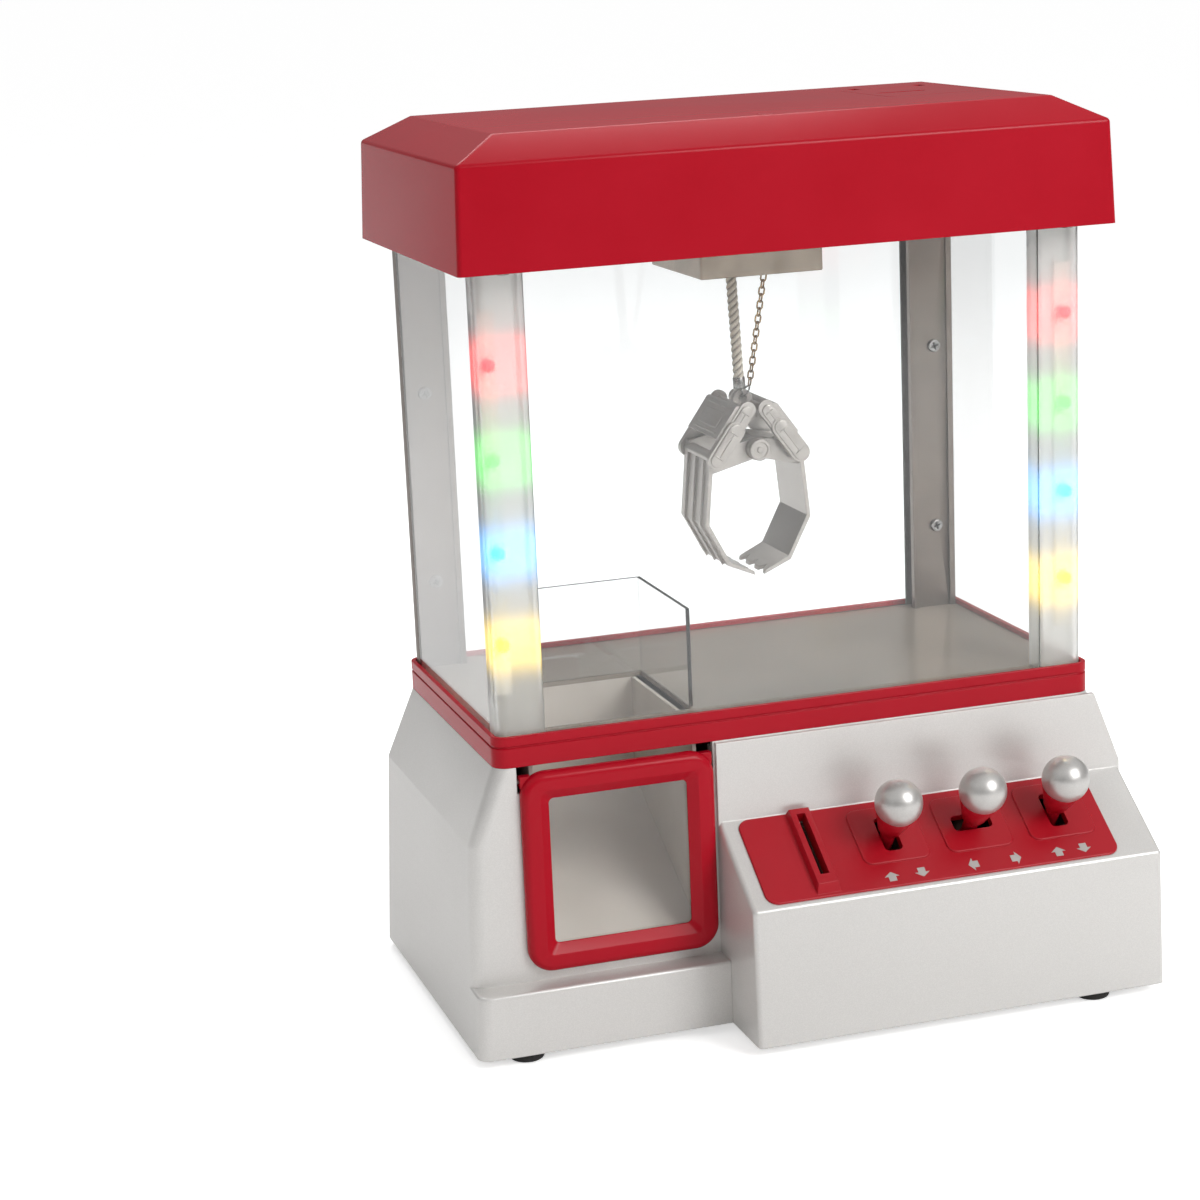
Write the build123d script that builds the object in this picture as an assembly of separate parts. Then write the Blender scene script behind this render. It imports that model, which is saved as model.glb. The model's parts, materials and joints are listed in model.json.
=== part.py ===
from build123d import *
import os
from math import atan2, cos, degrees, pi, radians, sin, sqrt, tan

# A table-top claw crane machine, in millimetres. X is to the right as seen from the front,
# +Y is to the back and +Z is up. Pieces are drawn about the cabinet's middle and moved at the
# end, so that the origin is on the floor under the middle of the whole machine.

# ---- overall sizes ----
CABINET_WIDTH = 252.2          # red rim band, side to side
CABINET_DEPTH = 135.6          # red rim band, front to back
BASE_HEIGHT = 117.7            # floor to the underside of the rim band
RIM_HEIGHT = 12.3
WINDOW_HEIGHT = 178.3          # rim band to the lower edge of the roof
FOOT_HEIGHT = 4.0
FOOT_RADIUS = 7.0
WALL = 2.4                     # moulded shells
HOUSING_WALL = 2.8             # control housing shell
CORNER = 6.0                   # upright corners of base and rim band

# ---- clearances ----
GAP = 0.3                      # between pieces that move past each other
PIN_CLEARANCE = 0.05           # radial, between a pin and its hole

# ---- base body ----
SHOULDER_DROP = 29.9           # the sides flare out over this height under the rim band
SHOULDER_OUT = 11.4
SIDE_OUT = 15.1                # how far the sides stand out of the rim band at the bottom
BACK_SHOULDER_OUT = 5.0
BACK_OUT = 9.6
SKIRT_REACH = 11.2
SKIRT_TOP = 30.0

# ---- rim band, prize floor and prize chute ----
RIM_WALL = 2.0
RIM_LEDGE = 12.0
RIM_GROOVE_WIDTH = 0.8
RIM_GROOVE_DEPTH = 0.6
RIM_GROOVE_DROP = 4.6
FLOOR_THICKNESS = 2.0
FLOOR_DROP = 2.0               # floor top below the top of the rim band
CHUTE_LEFT = -103.0
CHUTE_RIGHT = -41.0
CHUTE_FRONT = -53.0
CHUTE_BACK = 10.0
GUARD_WALL = 1.6
GUARD_FRONT = -50.0
RAMP_WALL = 1.6
RAMP_LOW = 40.0
RAMP_HIGH = 84.0

# ---- windows, columns and posts ----
WINDOW_WALL = 2.0
WINDOW_INSET = 0.3             # from the inner face of the rim band
COLUMN_WIDTH = 19.0
COLUMN_DEPTH = 11.0
COLUMN_CORNER = 5.0
COLUMN_WALL = 1.8
POST_WIDTH = 21.5
POST_DEPTH = 10.0
POST_WALL = 2.0
POST_LIP = 1.2
LED_HEIGHTS = (164.6, 200.6, 236.6, 272.6)
LED_RADIUS = 2.5
LED_BODY = 3.2
BOARD_THICKNESS = 1.2
LED_BOARD_WIDTH = 7.0

# ---- roof ----
ROOF_OUT_X = 6.5               # roof beyond the rim band at the sides
ROOF_OUT_Y = 10.1              # roof beyond the rim band at front and back
ROOF_SIDE_HEIGHT = 39.9
ROOF_DRAFT = 1.6
ROOF_BEVEL_HEIGHT = 9.7
ROOF_BEVEL_X = 18.1
ROOF_BEVEL_Y = 14.6
ROOF_CORNER = 2.0
HATCH_WIDTH = 45.0
HATCH_DEPTH = 51.0
HATCH_LEFT = 65.0
HATCH_FRONT = -14.0
HATCH_GRIP = 21.0
HATCH_PIN_RADIUS = 1.2
HATCH_EAR = 3.0
HATCH_PIN_UNDER = 1.8          # hinge line under the roof's skin
CEILING_RAISE = 0.7            # ceiling plate above the lower edge of the roof
CEILING_THICKNESS = 2.5

# ---- control housing and panel ----
HOUSING_LEFT = -37.0
HOUSING_RIGHT = 137.8
HOUSING_REACH = 41.2           # in front of the base's front wall, at the bottom
HOUSING_DRAFT = 2.4
HOUSING_FRONT_HEIGHT = 59.2
HOUSING_PROUD = 2.0            # upper panel in front of the base's front wall
PANEL_ANGLE = 34.83
PANEL_LEFT = -30.2
PANEL_RIGHT = 120.3
PANEL_LOW = 2.2                # along the slope, from its lower edge
PANEL_HIGH = 44.0
PANEL_CORNER = 5.0
PANEL_THICKNESS = 2.4
PANEL_SUNK = 1.6
COIN_DIAMETER = 25.0
COIN_THICKNESS = 2.4
COIN_SLOT_X = -4.5
COIN_SLOT_CLEARANCE = 1.2
COIN_SLOT_LOW = 11.0
COIN_RIDGE_WIDTH = 10.0
COIN_RIDGE_HEIGHT = 3.0
COIN_RIDGE_LOW = 3.6
COIN_PLAY = 2.5                # a coin's play in the guide, front to back
GUIDE_WALL = 2.0
LEVER_OFFSET = 7.5             # coin lever's axle beside the slot
LEVER_Z = 46.0
LEVER_HUB_RADIUS = 2.2
STICK_FIRST_X = 28.4
STICK_PITCH = 36.0
STICK_ALONG = 27.0
STICK_COUNT = 3
PAD_WIDTH = 28.5
PAD_LENGTH = 27.0
PAD_CORNER = 4.0
PAD_HEIGHT = 0.6

# ---- joysticks, along each stick from the face of the slope ----
STICK_PIVOT_DEPTH = 12.0
STICK_SWING = 15.0             # degrees each way
STICK_RADIUS = 2.2
STICK_NECK_RADIUS = 3.2
STICK_NECK_HEIGHT = 2.4
STICK_TAIL = 7.0
STICK_BOSS_RADIUS = 4.0
STICK_PIN_RADIUS = 1.5
BALL_RADIUS = 9.5
BALL_HEIGHT = 21.0
BALL_HOLE_DEPTH = 6.0
SOCKET_DROP = 5.5              # top of the cone under the middle of the ball
STICK_SLOT_PLAY = 0.6
CHEEK_GAP = 10.4
CHEEK_WALL = 2.0
CHEEK_WIDTH = 8.0

# ---- prize door ----
DOOR_LEFT = -117.2
DOOR_RIGHT = -38.4
DOOR_BOTTOM = 34.0
DOOR_TOP = 115.5
DOOR_CORNER = 10.0
DOOR_THICKNESS = 4.4
DOOR_FRAME = 11.2
DOOR_CHAMFER = 4.0
DOOR_LIP = 2.6
DOOR_PANE = 1.2
DOOR_PIVOT_DROP = 3.9          # pivot under the door's top edge
DOOR_PIN_RADIUS = 1.0
DOOR_PIN_INSET = 1.4           # pivot behind the base's front face
DOOR_LUG_WIDTH = 4.4
DOOR_OVERLAP = 2.7
DOOR_BEARING = 2.8             # width of each boss that carries a hinge pin

# ---- gantry and trolley in the roof ----
TROLLEY_WIDTH = 51.0
TROLLEY_DEPTH = 60.0
TROLLEY_Y = -8.0
TROLLEY_DROP = 14.5            # housing below the ceiling plate
TROLLEY_RISE = 20.5            # housing above the top of the ceiling plate
TROLLEY_WALL = 2.0
TROLLEY_TRAVEL = 62.0          # each way from the middle
GANTRY_FORWARD = 22.0
GANTRY_BACK = 34.0
OPENING_MARGIN = 3.0
SHOE_WIDTH = 18.0
SHOE_LENGTH = 48.0
SHOE_OUT = 124.0               # outer side of each shoe from the middle
SHOE_LIFT = 3.5
SHOE_TOP = 21.0
KEEL_WIDTH = 6.0
RAIL_WALL = 1.5
RAIL_HEIGHT = 2.4
ROD_RADIUS = 2.0
ROD_SPREAD = 20.0
ROD_RISE = 13.0
RACK_WIDTH = 6.0
RACK_BACKING = 1.6
RACK_SINK = 0.4                # the rack's root inside the plate it is moulded on
ADDENDUM = 0.8                 # tooth above the pitch line, in modules
DEDENDUM = 1.25                # tooth space below it, in modules
TOOTH_MODULE = 1.0
TOOTH_BACKLASH = 0.22
PRESSURE_ANGLE = 20.0
PINION_TEETH = 12
PINION_WIDTH = 4.0
PINION_BORE = 1.0
MOTOR_RADIUS = 6.0
MOTOR_LENGTH = 16.0
DRIVE_BAR_THICKNESS = 4.0
DRIVE_BAR_HEIGHT = 5.0
PINION_OFFSET = -17.0         # trolley pinion beside the drum

# ---- hoist: drum, rope and chain ----
DRUM_RADIUS = 5.0
DRUM_FLANGE_RADIUS = 8.0
DRUM_FLANGE = 1.2
DRUM_AXLE_RADIUS = 1.5
ROPE_RADIUS = 1.9
CHAIN_RADIUS = 1.4
ROPE_TOP_X = -4.2              # where the rope leaves the drum
CHAIN_TOP_X = 15.4
ROPE_LOW_X = -0.9              # where each line meets the lug
CHAIN_LOW_X = 3.4
LINE_END = 1.2                 # lines stop this far above the lug
LINE_HOLE = 3.4                # half the width of each hole in the carriage floor

# ---- claw, about the hub pin ----
HUB_HEIGHT = 223.9
CLAW_Y = -10.0
HEAD_RISE = 16.0
HEAD_PIVOT_X = 4.0
SHOULDER_X = 17.7
SHOULDER_Z = -2.9
LUG_RISE = 17.6
LUG_RADIUS = 4.2
LUG_HOLE = 1.8
LUG_WALL = 2.4
HUB_RADIUS = 4.0
HUB_PIN_RADIUS = 2.0
HUB_CAP_RADIUS = 4.65
HUB_CAP = 2.4
CLAW_HALF_DEPTH = 15.0
JAW_WALL = 1.6
JAW_ELBOW_X = 22.5
JAW_ELBOW_Z = -30.0
JAW_KNEE_X = 13.5
JAW_KNEE_Z = -47.0
JAW_TIP_X = 2.0
JAW_TIP_Z = -52.0
JAW_TOOTH_DEPTH = 3.2          # the shallow zig-zag of the gripping edge
JAW_ARM = 2.6
RIB_HEIGHT = 0.8
RIB_WIDTH = 1.2
LINK_ARM = 3.4
LINK_RADIUS = 3.9
LINK_STEP = 1.0
PIVOT_RADIUS = 1.2
OPEN_PIVOT_RADIUS = 2.5        # hole of the loop's one loose pivot

# ---- inside the base ----
SCREW_HEAD_RADIUS = 2.8
SCREW_HEAD = 1.6
SCREW_RADIUS = 1.4
SCREW_LENGTH = 8.0
SCREW_DRIVE = 1.5
BOSS_RADIUS = 3.6
CELL_RADIUS = 16.6
CELL_LENGTH = 58.0
CELL_NUB_RADIUS = 4.5
CELL_NUB = 2.0
CELL_COUNT = 3
CELL_GAP = 1.2
BATTERY_FRONT = 2.0
TRAY_WALL = 1.6
SPEAKER_RADIUS = 20.0
SPEAKER_X = 98.0
SPEAKER_Y = 36.0
SPEAKER_DEPTH = 10.0
SWITCH_X = 60.0
SWITCH_Y = -36.0
SWITCH_TRAVEL = 4.0
SWITCH_KNOB = 4.0
BOARD_WIDTH = 56.0
BOARD_DEPTH = 50.0
BOARD_X = 98.0
BOARD_Y = -22.0
STANDOFF = 6.0
COIN_BOX_HEIGHT = 20.0

# ---- sizes that follow from the ones above ----
HALF_W = CABINET_WIDTH / 2
HALF_D = CABINET_DEPTH / 2
FRONT = -HALF_D
RIM_TOP = BASE_HEIGHT + RIM_HEIGHT
FLOOR_TOP = RIM_TOP - FLOOR_DROP
FLOOR_UNDER = FLOOR_TOP - FLOOR_THICKNESS
ROOF_BOTTOM = RIM_TOP + WINDOW_HEIGHT
ROOF_WALL_TOP = ROOF_BOTTOM + ROOF_SIDE_HEIGHT
ROOF_TOP = ROOF_WALL_TOP + ROOF_BEVEL_HEIGHT
ROOF_HALF_W = HALF_W + ROOF_OUT_X
ROOF_HALF_D = HALF_D + ROOF_OUT_Y
CEILING = ROOF_BOTTOM + CEILING_RAISE
CEILING_TOP = CEILING + CEILING_THICKNESS
INNER_X = HALF_W - RIM_WALL - WINDOW_INSET
INNER_Y = HALF_D - RIM_WALL - WINDOW_INSET
PANEL_TOP_Y = FRONT - HOUSING_PROUD
PANEL_FOOT_Y = FRONT - HOUSING_REACH + HOUSING_DRAFT
SLOPE_LENGTH = (PANEL_TOP_Y - PANEL_FOOT_Y) / cos(radians(PANEL_ANGLE))
SLOPE_TOP_Z = HOUSING_FRONT_HEIGHT + SLOPE_LENGTH * sin(radians(PANEL_ANGLE))
COIN_SLOT_WIDTH = COIN_THICKNESS + COIN_SLOT_CLEARANCE
COIN_SLOT_LENGTH = COIN_DIAMETER + 5.0
STICK_SLOT_WIDTH = 2 * (STICK_NECK_RADIUS + STICK_SLOT_PLAY)
STICK_SLOT_REACH = (STICK_PIVOT_DEPTH + PANEL_THICKNESS) * tan(radians(STICK_SWING))
STICK_SLOT_LENGTH = STICK_SLOT_WIDTH + 2 * (STICK_SLOT_REACH + STICK_SLOT_PLAY)
HALF_SIDE_TOP = HALF_W + SHOULDER_OUT
SHOULDER_Z0 = BASE_HEIGHT - SHOULDER_DROP
DOOR_PIVOT_Y = FRONT + DOOR_PIN_INSET
DOOR_PIVOT_Z = DOOR_TOP - DOOR_PIVOT_DROP
# the hinge line is as far behind the opening as it is under the roof, so the lid's back edge swings clear
HATCH_PIN_BACK = WALL + HATCH_PIN_UNDER
HATCH_PIVOT_Y = HATCH_FRONT + HATCH_DEPTH + HATCH_PIN_BACK
HATCH_PIVOT_Z = ROOF_TOP - WALL - HATCH_PIN_UNDER
ROD_Z = CEILING_TOP + ROD_RISE
PINION_RADIUS = TOOTH_MODULE * PINION_TEETH / 2
GEAR_Z = CEILING_TOP - RACK_SINK + RACK_BACKING + DEDENDUM * TOOTH_MODULE + PINION_RADIUS
SHOE_IN = SHOE_OUT - SHOE_WIDTH
GANTRY_PINION_X = -(SHOE_IN - 4.5)
TROLLEY_FLOOR = CEILING - TROLLEY_DROP
TROLLEY_TOP = CEILING_TOP + TROLLEY_RISE
TROLLEY_PINION_Z = TROLLEY_TOP + GAP + 0.5
BRIDGE_BAR_Y = TROLLEY_Y + 18.0
TROLLEY_PINION_Y = BRIDGE_BAR_Y - DEDENDUM * TOOTH_MODULE - PINION_RADIUS
DRUM_Z = TROLLEY_FLOOR + 22.0
DRUM_Y = CLAW_Y + DRUM_RADIUS + ROPE_RADIUS
LUG_Z = HUB_HEIGHT + LUG_RISE
LINE_LOW = LUG_Z + LUG_RADIUS + LINE_END
LOWEST_CLAW = HUB_HEIGHT + JAW_TIP_Z
GUARD_TOP = LOWEST_CLAW - 4.0
ARM_FRONT = CLAW_HALF_DEPTH + LINK_ARM
COIN_GUIDE_FRONT = PANEL_FOOT_Y + (COIN_SLOT_LOW + 1) * cos(radians(PANEL_ANGLE)) - 2
COIN_GUIDE_BACK = COIN_GUIDE_FRONT + COIN_DIAMETER + COIN_PLAY
LEVER_X = COIN_SLOT_X + LEVER_OFFSET
FOOTPRINT_SHIFT = (HOUSING_REACH + HALF_D - ROOF_HALF_D) / 2


def block(x0, x1, y0, y1, z0, z1):
    """A box between the given limits."""
    return Pos((x0 + x1) / 2, (y0 + y1) / 2, (z0 + z1) / 2) * Box(x1 - x0, y1 - y0, z1 - z0)


def section(z, half_width, front, back, corner):
    """A level rounded rectangle for a loft."""
    middle = Pos(0, (front + back) / 2, z)
    return middle * RectangleRounded(2 * half_width, back - front, corner)


def along_x(radius, x0, x1, y, z):
    """A rod along X."""
    return Pos((x0 + x1) / 2, y, z) * Rot(0, 90, 0) * Cylinder(radius, x1 - x0)


def along_y(radius, y0, y1, x, z):
    """A rod along Y."""
    return Pos(x, (y0 + y1) / 2, z) * Rot(90, 0, 0) * Cylinder(radius, y1 - y0)


def upright(radius, z0, z1, x, y):
    """A rod along Z."""
    return Pos(x, y, (z0 + z1) / 2) * Cylinder(radius, z1 - z0)


def side_profile(points, x0, x1):
    """A prism along X from an outline of (y, z) points."""
    outline = make_face(Polyline(*[(x0, y, z) for y, z in points], close=True))
    return extrude(outline, amount=x1 - x0, dir=(1, 0, 0))


def front_profile(points, y0, y1):
    """A prism along Y from an outline of (x, z) points."""
    outline = make_face(Polyline(*[(x, y0, z) for x, z in points], close=True))
    return extrude(outline, amount=y1 - y0, dir=(0, 1, 0))


def mirrored(shape):
    """The same piece for the other side of the machine."""
    return mirror(shape, about=Plane.YZ)


# ---------------------------------------------------------------- base

def base_solid(inset):
    """The base's outer form, or the same form drawn in by a wall."""
    levels = (
        (FOOT_HEIGHT, HALF_W + SIDE_OUT, HALF_D + BACK_OUT),
        (SHOULDER_Z0, HALF_SIDE_TOP, HALF_D + BACK_SHOULDER_OUT),
        (BASE_HEIGHT, HALF_W, HALF_D),
    )
    faces = [section(z, w - inset, FRONT + inset, back - inset, CORNER - inset) for z, w, back in levels]
    return loft(faces, ruled=True)


def skirt_solid():
    """The low step across the left part of the front, and the space inside it."""
    draft = (SIDE_OUT - SHOULDER_OUT) * (SKIRT_TOP - FOOT_HEIGHT) / (SHOULDER_Z0 - FOOT_HEIGHT)
    left = -(HALF_W + SIDE_OUT)
    front = FRONT - SKIRT_REACH
    outline = ((left, FOOT_HEIGHT), (HOUSING_LEFT, FOOT_HEIGHT), (HOUSING_LEFT, SKIRT_TOP),
               (left + draft, SKIRT_TOP))
    outer = front_profile(outline, front, FRONT + CORNER)
    edge = outer.edges().filter_by(lambda e: abs(e.center().Y - front) < 0.01 and e.center().X < left + draft)
    outer = fillet(edge, CORNER - 1.0)
    lip = outer.edges().filter_by(lambda e: abs(e.center().Y - front) < 0.01)
    lip = lip.filter_by(lambda e: e.center().Z > SKIRT_TOP - 0.01)
    outer = fillet(lip, 1.2)
    space = block(left + draft + WALL, HOUSING_LEFT - WALL, front + WALL, FRONT + CORNER + 1,
                  FOOT_HEIGHT + WALL, SKIRT_TOP - WALL)
    return outer, space


def door_opening():
    """The hole in the front wall behind the prize door, wider at the top for the door's lugs."""
    lower = block(DOOR_LEFT + DOOR_OVERLAP, DOOR_RIGHT - DOOR_OVERLAP, FRONT - 1, FRONT + WALL + 1,
                  DOOR_BOTTOM + DOOR_OVERLAP, BASE_HEIGHT + 1)
    upper = block(DOOR_LEFT - 2 * GAP, DOOR_RIGHT + 2 * GAP, FRONT - 1, FRONT + WALL + 1,
                  DOOR_PIVOT_Z - 4.5, BASE_HEIGHT + 1)
    return lower + upper


def door_bearings():
    """Bosses inside the front wall that carry the door's two pins."""
    height = 3.5
    left = block(DOOR_LEFT - 2 * GAP - DOOR_BEARING, DOOR_LEFT - 2 * GAP, FRONT, FRONT + 6,
                 DOOR_PIVOT_Z - height, DOOR_PIVOT_Z + height)
    right = block(DOOR_RIGHT + 2 * GAP, DOOR_RIGHT + 2 * GAP + DOOR_BEARING, FRONT, FRONT + 6,
                  DOOR_PIVOT_Z - height, DOOR_PIVOT_Z + height)
    return left + right


def base_screw_places():
    """The four screws that hold the bottom plate."""
    x = HALF_W + SIDE_OUT - WALL - 6.0
    return [(-x, FRONT + 24), (x, FRONT + 24), (-x, HALF_D - 8), (x, HALF_D - 8)]


def base_body():
    """The silver moulded base: a flared shell, open under the rim band and at the bottom."""
    skirt, space = skirt_solid()
    inside = base_solid(WALL)
    body = base_solid(0) + skirt
    body = body - inside - space
    body = body - door_opening()
    behind_controls = block(HOUSING_LEFT + 8, HOUSING_RIGHT - 10, FRONT - 1, FRONT + WALL + 1,
                            FOOT_HEIGHT + 6, BASE_HEIGHT - 7)
    body = body - behind_controls
    body = body + door_bearings()
    pin_end = 2 * GAP + DOOR_BEARING
    body -= along_x(DOOR_PIN_RADIUS + PIN_CLEARANCE, DOOR_LEFT - pin_end, DOOR_RIGHT + pin_end,
                    DOOR_PIVOT_Y, DOOR_PIVOT_Z)
    for x, y in base_screw_places():
        boss = upright(BOSS_RADIUS, FOOT_HEIGHT + WALL, FOOT_HEIGHT + 16, x, y)
        web = block(min(x, x * 1.06), max(x, x * 1.06), y - 1, y + 1, FOOT_HEIGHT + WALL, FOOT_HEIGHT + 16)
        post = (boss + web) & base_solid(1.0)
        hole = upright(SCREW_RADIUS, FOOT_HEIGHT, FOOT_HEIGHT + 14, x, y)
        body = (body + post) - hole
    return body


def bottom_plate():
    """The plate that closes the base, with the battery opening, speaker holes and switch slot."""
    slab = block(-300, 300, -300, 300, FOOT_HEIGHT, FOOT_HEIGHT + WALL)
    plate = base_solid(WALL) & slab
    x0, x1, y0, y1 = battery_limits()
    plate -= block(x0, x1, y0, y1, 0, 20)
    for row in range(-2, 3):
        for column in range(-2, 3):
            if row * row + column * column < 7:
                plate -= upright(1.6, 0, 20, SPEAKER_X + 6 * column, SPEAKER_Y + 6 * row)
    plate -= block(SWITCH_X - SWITCH_KNOB / 2 - GAP, SWITCH_X + SWITCH_KNOB / 2 + SWITCH_TRAVEL + GAP,
                   SWITCH_Y - SWITCH_KNOB / 2 - GAP, SWITCH_Y + SWITCH_KNOB / 2 + GAP, 0, 20)
    for x, y in board_corners():
        plate += upright(2.5, FOOT_HEIGHT + WALL, FOOT_HEIGHT + WALL + STANDOFF, x, y)
    for x, y in base_screw_places():
        plate -= upright(SCREW_HEAD_RADIUS, 0, FOOT_HEIGHT + SCREW_HEAD, x, y)
        plate -= upright(SCREW_RADIUS, 0, 20, x, y)
    return plate


def battery_limits():
    """Inner limits of the battery tray: left, right, front and back."""
    half = (CELL_COUNT * 2 * CELL_RADIUS + (CELL_COUNT + 1) * CELL_GAP) / 2
    return -half, half, BATTERY_FRONT, BATTERY_FRONT + CELL_LENGTH + CELL_NUB + 2 * CELL_GAP


def battery_box():
    """The tray over the battery opening."""
    x0, x1, y0, y1 = battery_limits()
    top = FOOT_HEIGHT + WALL + 2 * CELL_RADIUS + 2 * CELL_GAP
    floor = FOOT_HEIGHT + WALL
    outer = block(x0 - TRAY_WALL, x1 + TRAY_WALL, y0 - TRAY_WALL, y1 + TRAY_WALL, floor, top + TRAY_WALL)
    return outer - block(x0, x1, y0, y1, floor - 1, top)


def battery_cover():
    """The lid of the battery opening, flush with the bottom plate, with a finger latch."""
    x0, x1, y0, y1 = battery_limits()
    lid = block(x0, x1, y0, y1, FOOT_HEIGHT, FOOT_HEIGHT + WALL)
    grip = block(-8, 8, y0 + 2, y0 + 7, FOOT_HEIGHT - 1, FOOT_HEIGHT + 1.2)
    return lid - grip


def batteries():
    """Three round cells side by side, resting on the cover."""
    x0, x1, y0, y1 = battery_limits()
    pitch = 2 * CELL_RADIUS + CELL_GAP
    z = FOOT_HEIGHT + WALL + CELL_RADIUS
    cells = []
    for index in range(CELL_COUNT):
        x = x0 + CELL_GAP + CELL_RADIUS + index * pitch
        can = along_y(CELL_RADIUS, y0 + CELL_GAP, y0 + CELL_GAP + CELL_LENGTH, x, z)
        end_y = y0 + CELL_GAP + CELL_LENGTH
        nub = along_y(CELL_NUB_RADIUS, end_y, end_y + CELL_NUB, x, z)
        cells.append(can + nub)
    return Compound(cells)


def foot_places():
    """Middles of the four feet."""
    return [(-(HALF_W - 6), FRONT - 2.2), (HOUSING_RIGHT - 27.8, FRONT - HOUSING_REACH + 9.2),
            (-(HALF_W - 6), HALF_D - 5.8), (HALF_W - 6, HALF_D - 5.8)]


def feet():
    """Four round rubber feet."""
    pads = []
    for x, y in foot_places():
        pad = upright(FOOT_RADIUS, 0, FOOT_HEIGHT, x, y)
        pads.append(chamfer(pad.edges().group_by(Axis.Z)[0], 0.8))
    return Compound(pads)


def board_corners():
    """The four corners of the main board's fixing."""
    dx = BOARD_WIDTH / 2 - 4
    dy = BOARD_DEPTH / 2 - 4
    return [(BOARD_X + sx * dx, BOARD_Y + sy * dy) for sx in (-1, 1) for sy in (-1, 1)]


def main_board():
    """The circuit board with its driver chip and two capacitors, on four standoffs."""
    z = FOOT_HEIGHT + WALL + STANDOFF
    board = block(BOARD_X - BOARD_WIDTH / 2, BOARD_X + BOARD_WIDTH / 2,
                  BOARD_Y - BOARD_DEPTH / 2, BOARD_Y + BOARD_DEPTH / 2, z, z + BOARD_THICKNESS)
    top = z + BOARD_THICKNESS
    chip = block(BOARD_X - 10, BOARD_X + 10, BOARD_Y - 5, BOARD_Y + 5, top, top + 3)
    cans = upright(4, top, top + 11, BOARD_X + 18, BOARD_Y + 12)
    cans += upright(4, top, top + 11, BOARD_X + 18, BOARD_Y)
    return board + chip + cans


def speaker():
    """A round speaker over the holes in the bottom plate."""
    z = FOOT_HEIGHT + WALL
    rim = upright(SPEAKER_RADIUS, z, z + 3, SPEAKER_X, SPEAKER_Y)
    cone = Pos(SPEAKER_X, SPEAKER_Y, z + 3 + 2) * Cone(SPEAKER_RADIUS - 2, 9, 4)
    magnet = upright(9, z + 7, z + SPEAKER_DEPTH + 2, SPEAKER_X, SPEAKER_Y)
    hollow = upright(SPEAKER_RADIUS - 3, z - 1, z + 2, SPEAKER_X, SPEAKER_Y)
    return (rim + cone + magnet) - hollow


def power_switch():
    """The slider of the power switch, in its slot in the bottom plate."""
    half = SWITCH_KNOB / 2
    z = FOOT_HEIGHT + WALL + GAP
    knob = block(SWITCH_X - half, SWITCH_X + half, SWITCH_Y - half, SWITCH_Y + half, FOOT_HEIGHT + 0.6, z)
    flange = block(SWITCH_X - half - 3, SWITCH_X + half + 3, SWITCH_Y - half - 2, SWITCH_Y + half + 2,
                   z, z + 1.5)
    return knob + flange


# ---------------------------------------------------------------- rim band, floor and chute

def rim_band():
    """The red band round the cabinet's foot, with a ledge inside that carries the floor."""
    outer = extrude(section(BASE_HEIGHT, HALF_W, FRONT, HALF_D, CORNER), amount=RIM_HEIGHT)
    upper = section(FLOOR_UNDER, HALF_W - RIM_WALL, FRONT + RIM_WALL, HALF_D - RIM_WALL, CORNER - RIM_WALL)
    ledge = block(-HALF_W + RIM_LEDGE, HALF_W - RIM_LEDGE, FRONT + RIM_LEDGE, HALF_D - RIM_LEDGE, 0, 300)
    band = outer - extrude(upper, amount=RIM_HEIGHT) - ledge
    z = RIM_TOP - RIM_GROOVE_DROP
    cutter = section(z, HALF_W + 1, FRONT - 1, HALF_D + 1, CORNER)
    core = section(z, HALF_W - RIM_GROOVE_DEPTH, FRONT + RIM_GROOVE_DEPTH, HALF_D - RIM_GROOVE_DEPTH,
                   CORNER - RIM_GROOVE_DEPTH)
    groove = extrude(cutter, amount=RIM_GROOVE_WIDTH) - extrude(core, amount=RIM_GROOVE_WIDTH)
    chute = block(CHUTE_LEFT, CHUTE_RIGHT, CHUTE_FRONT - 4, CHUTE_BACK, 0, 300)
    notch = block(DOOR_LEFT - GAP, DOOR_RIGHT + GAP, FRONT + WALL, FRONT + RIM_LEDGE + 1, 0, FLOOR_UNDER - 2)
    return band - groove - chute - notch


def prize_floor():
    """The plate that the prizes lie on, with the opening of the prize chute."""
    x = HALF_W - RIM_WALL
    y = HALF_D - RIM_WALL
    plate = extrude(section(FLOOR_UNDER, x, -y, y, CORNER - RIM_WALL), amount=FLOOR_THICKNESS)
    return plate - block(CHUTE_LEFT, CHUTE_RIGHT, CHUTE_FRONT, CHUTE_BACK, 0, 300)


def chute_guard():
    """The clear low wall along the right and back edges of the chute's opening."""
    out_x = CHUTE_RIGHT + GUARD_WALL
    back_y = CHUTE_BACK + GUARD_WALL
    side = block(CHUTE_RIGHT, out_x, GUARD_FRONT, back_y, FLOOR_TOP, GUARD_TOP)
    back = block(CHUTE_LEFT, out_x, CHUTE_BACK, back_y, FLOOR_TOP, GUARD_TOP)
    return side + back


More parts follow.
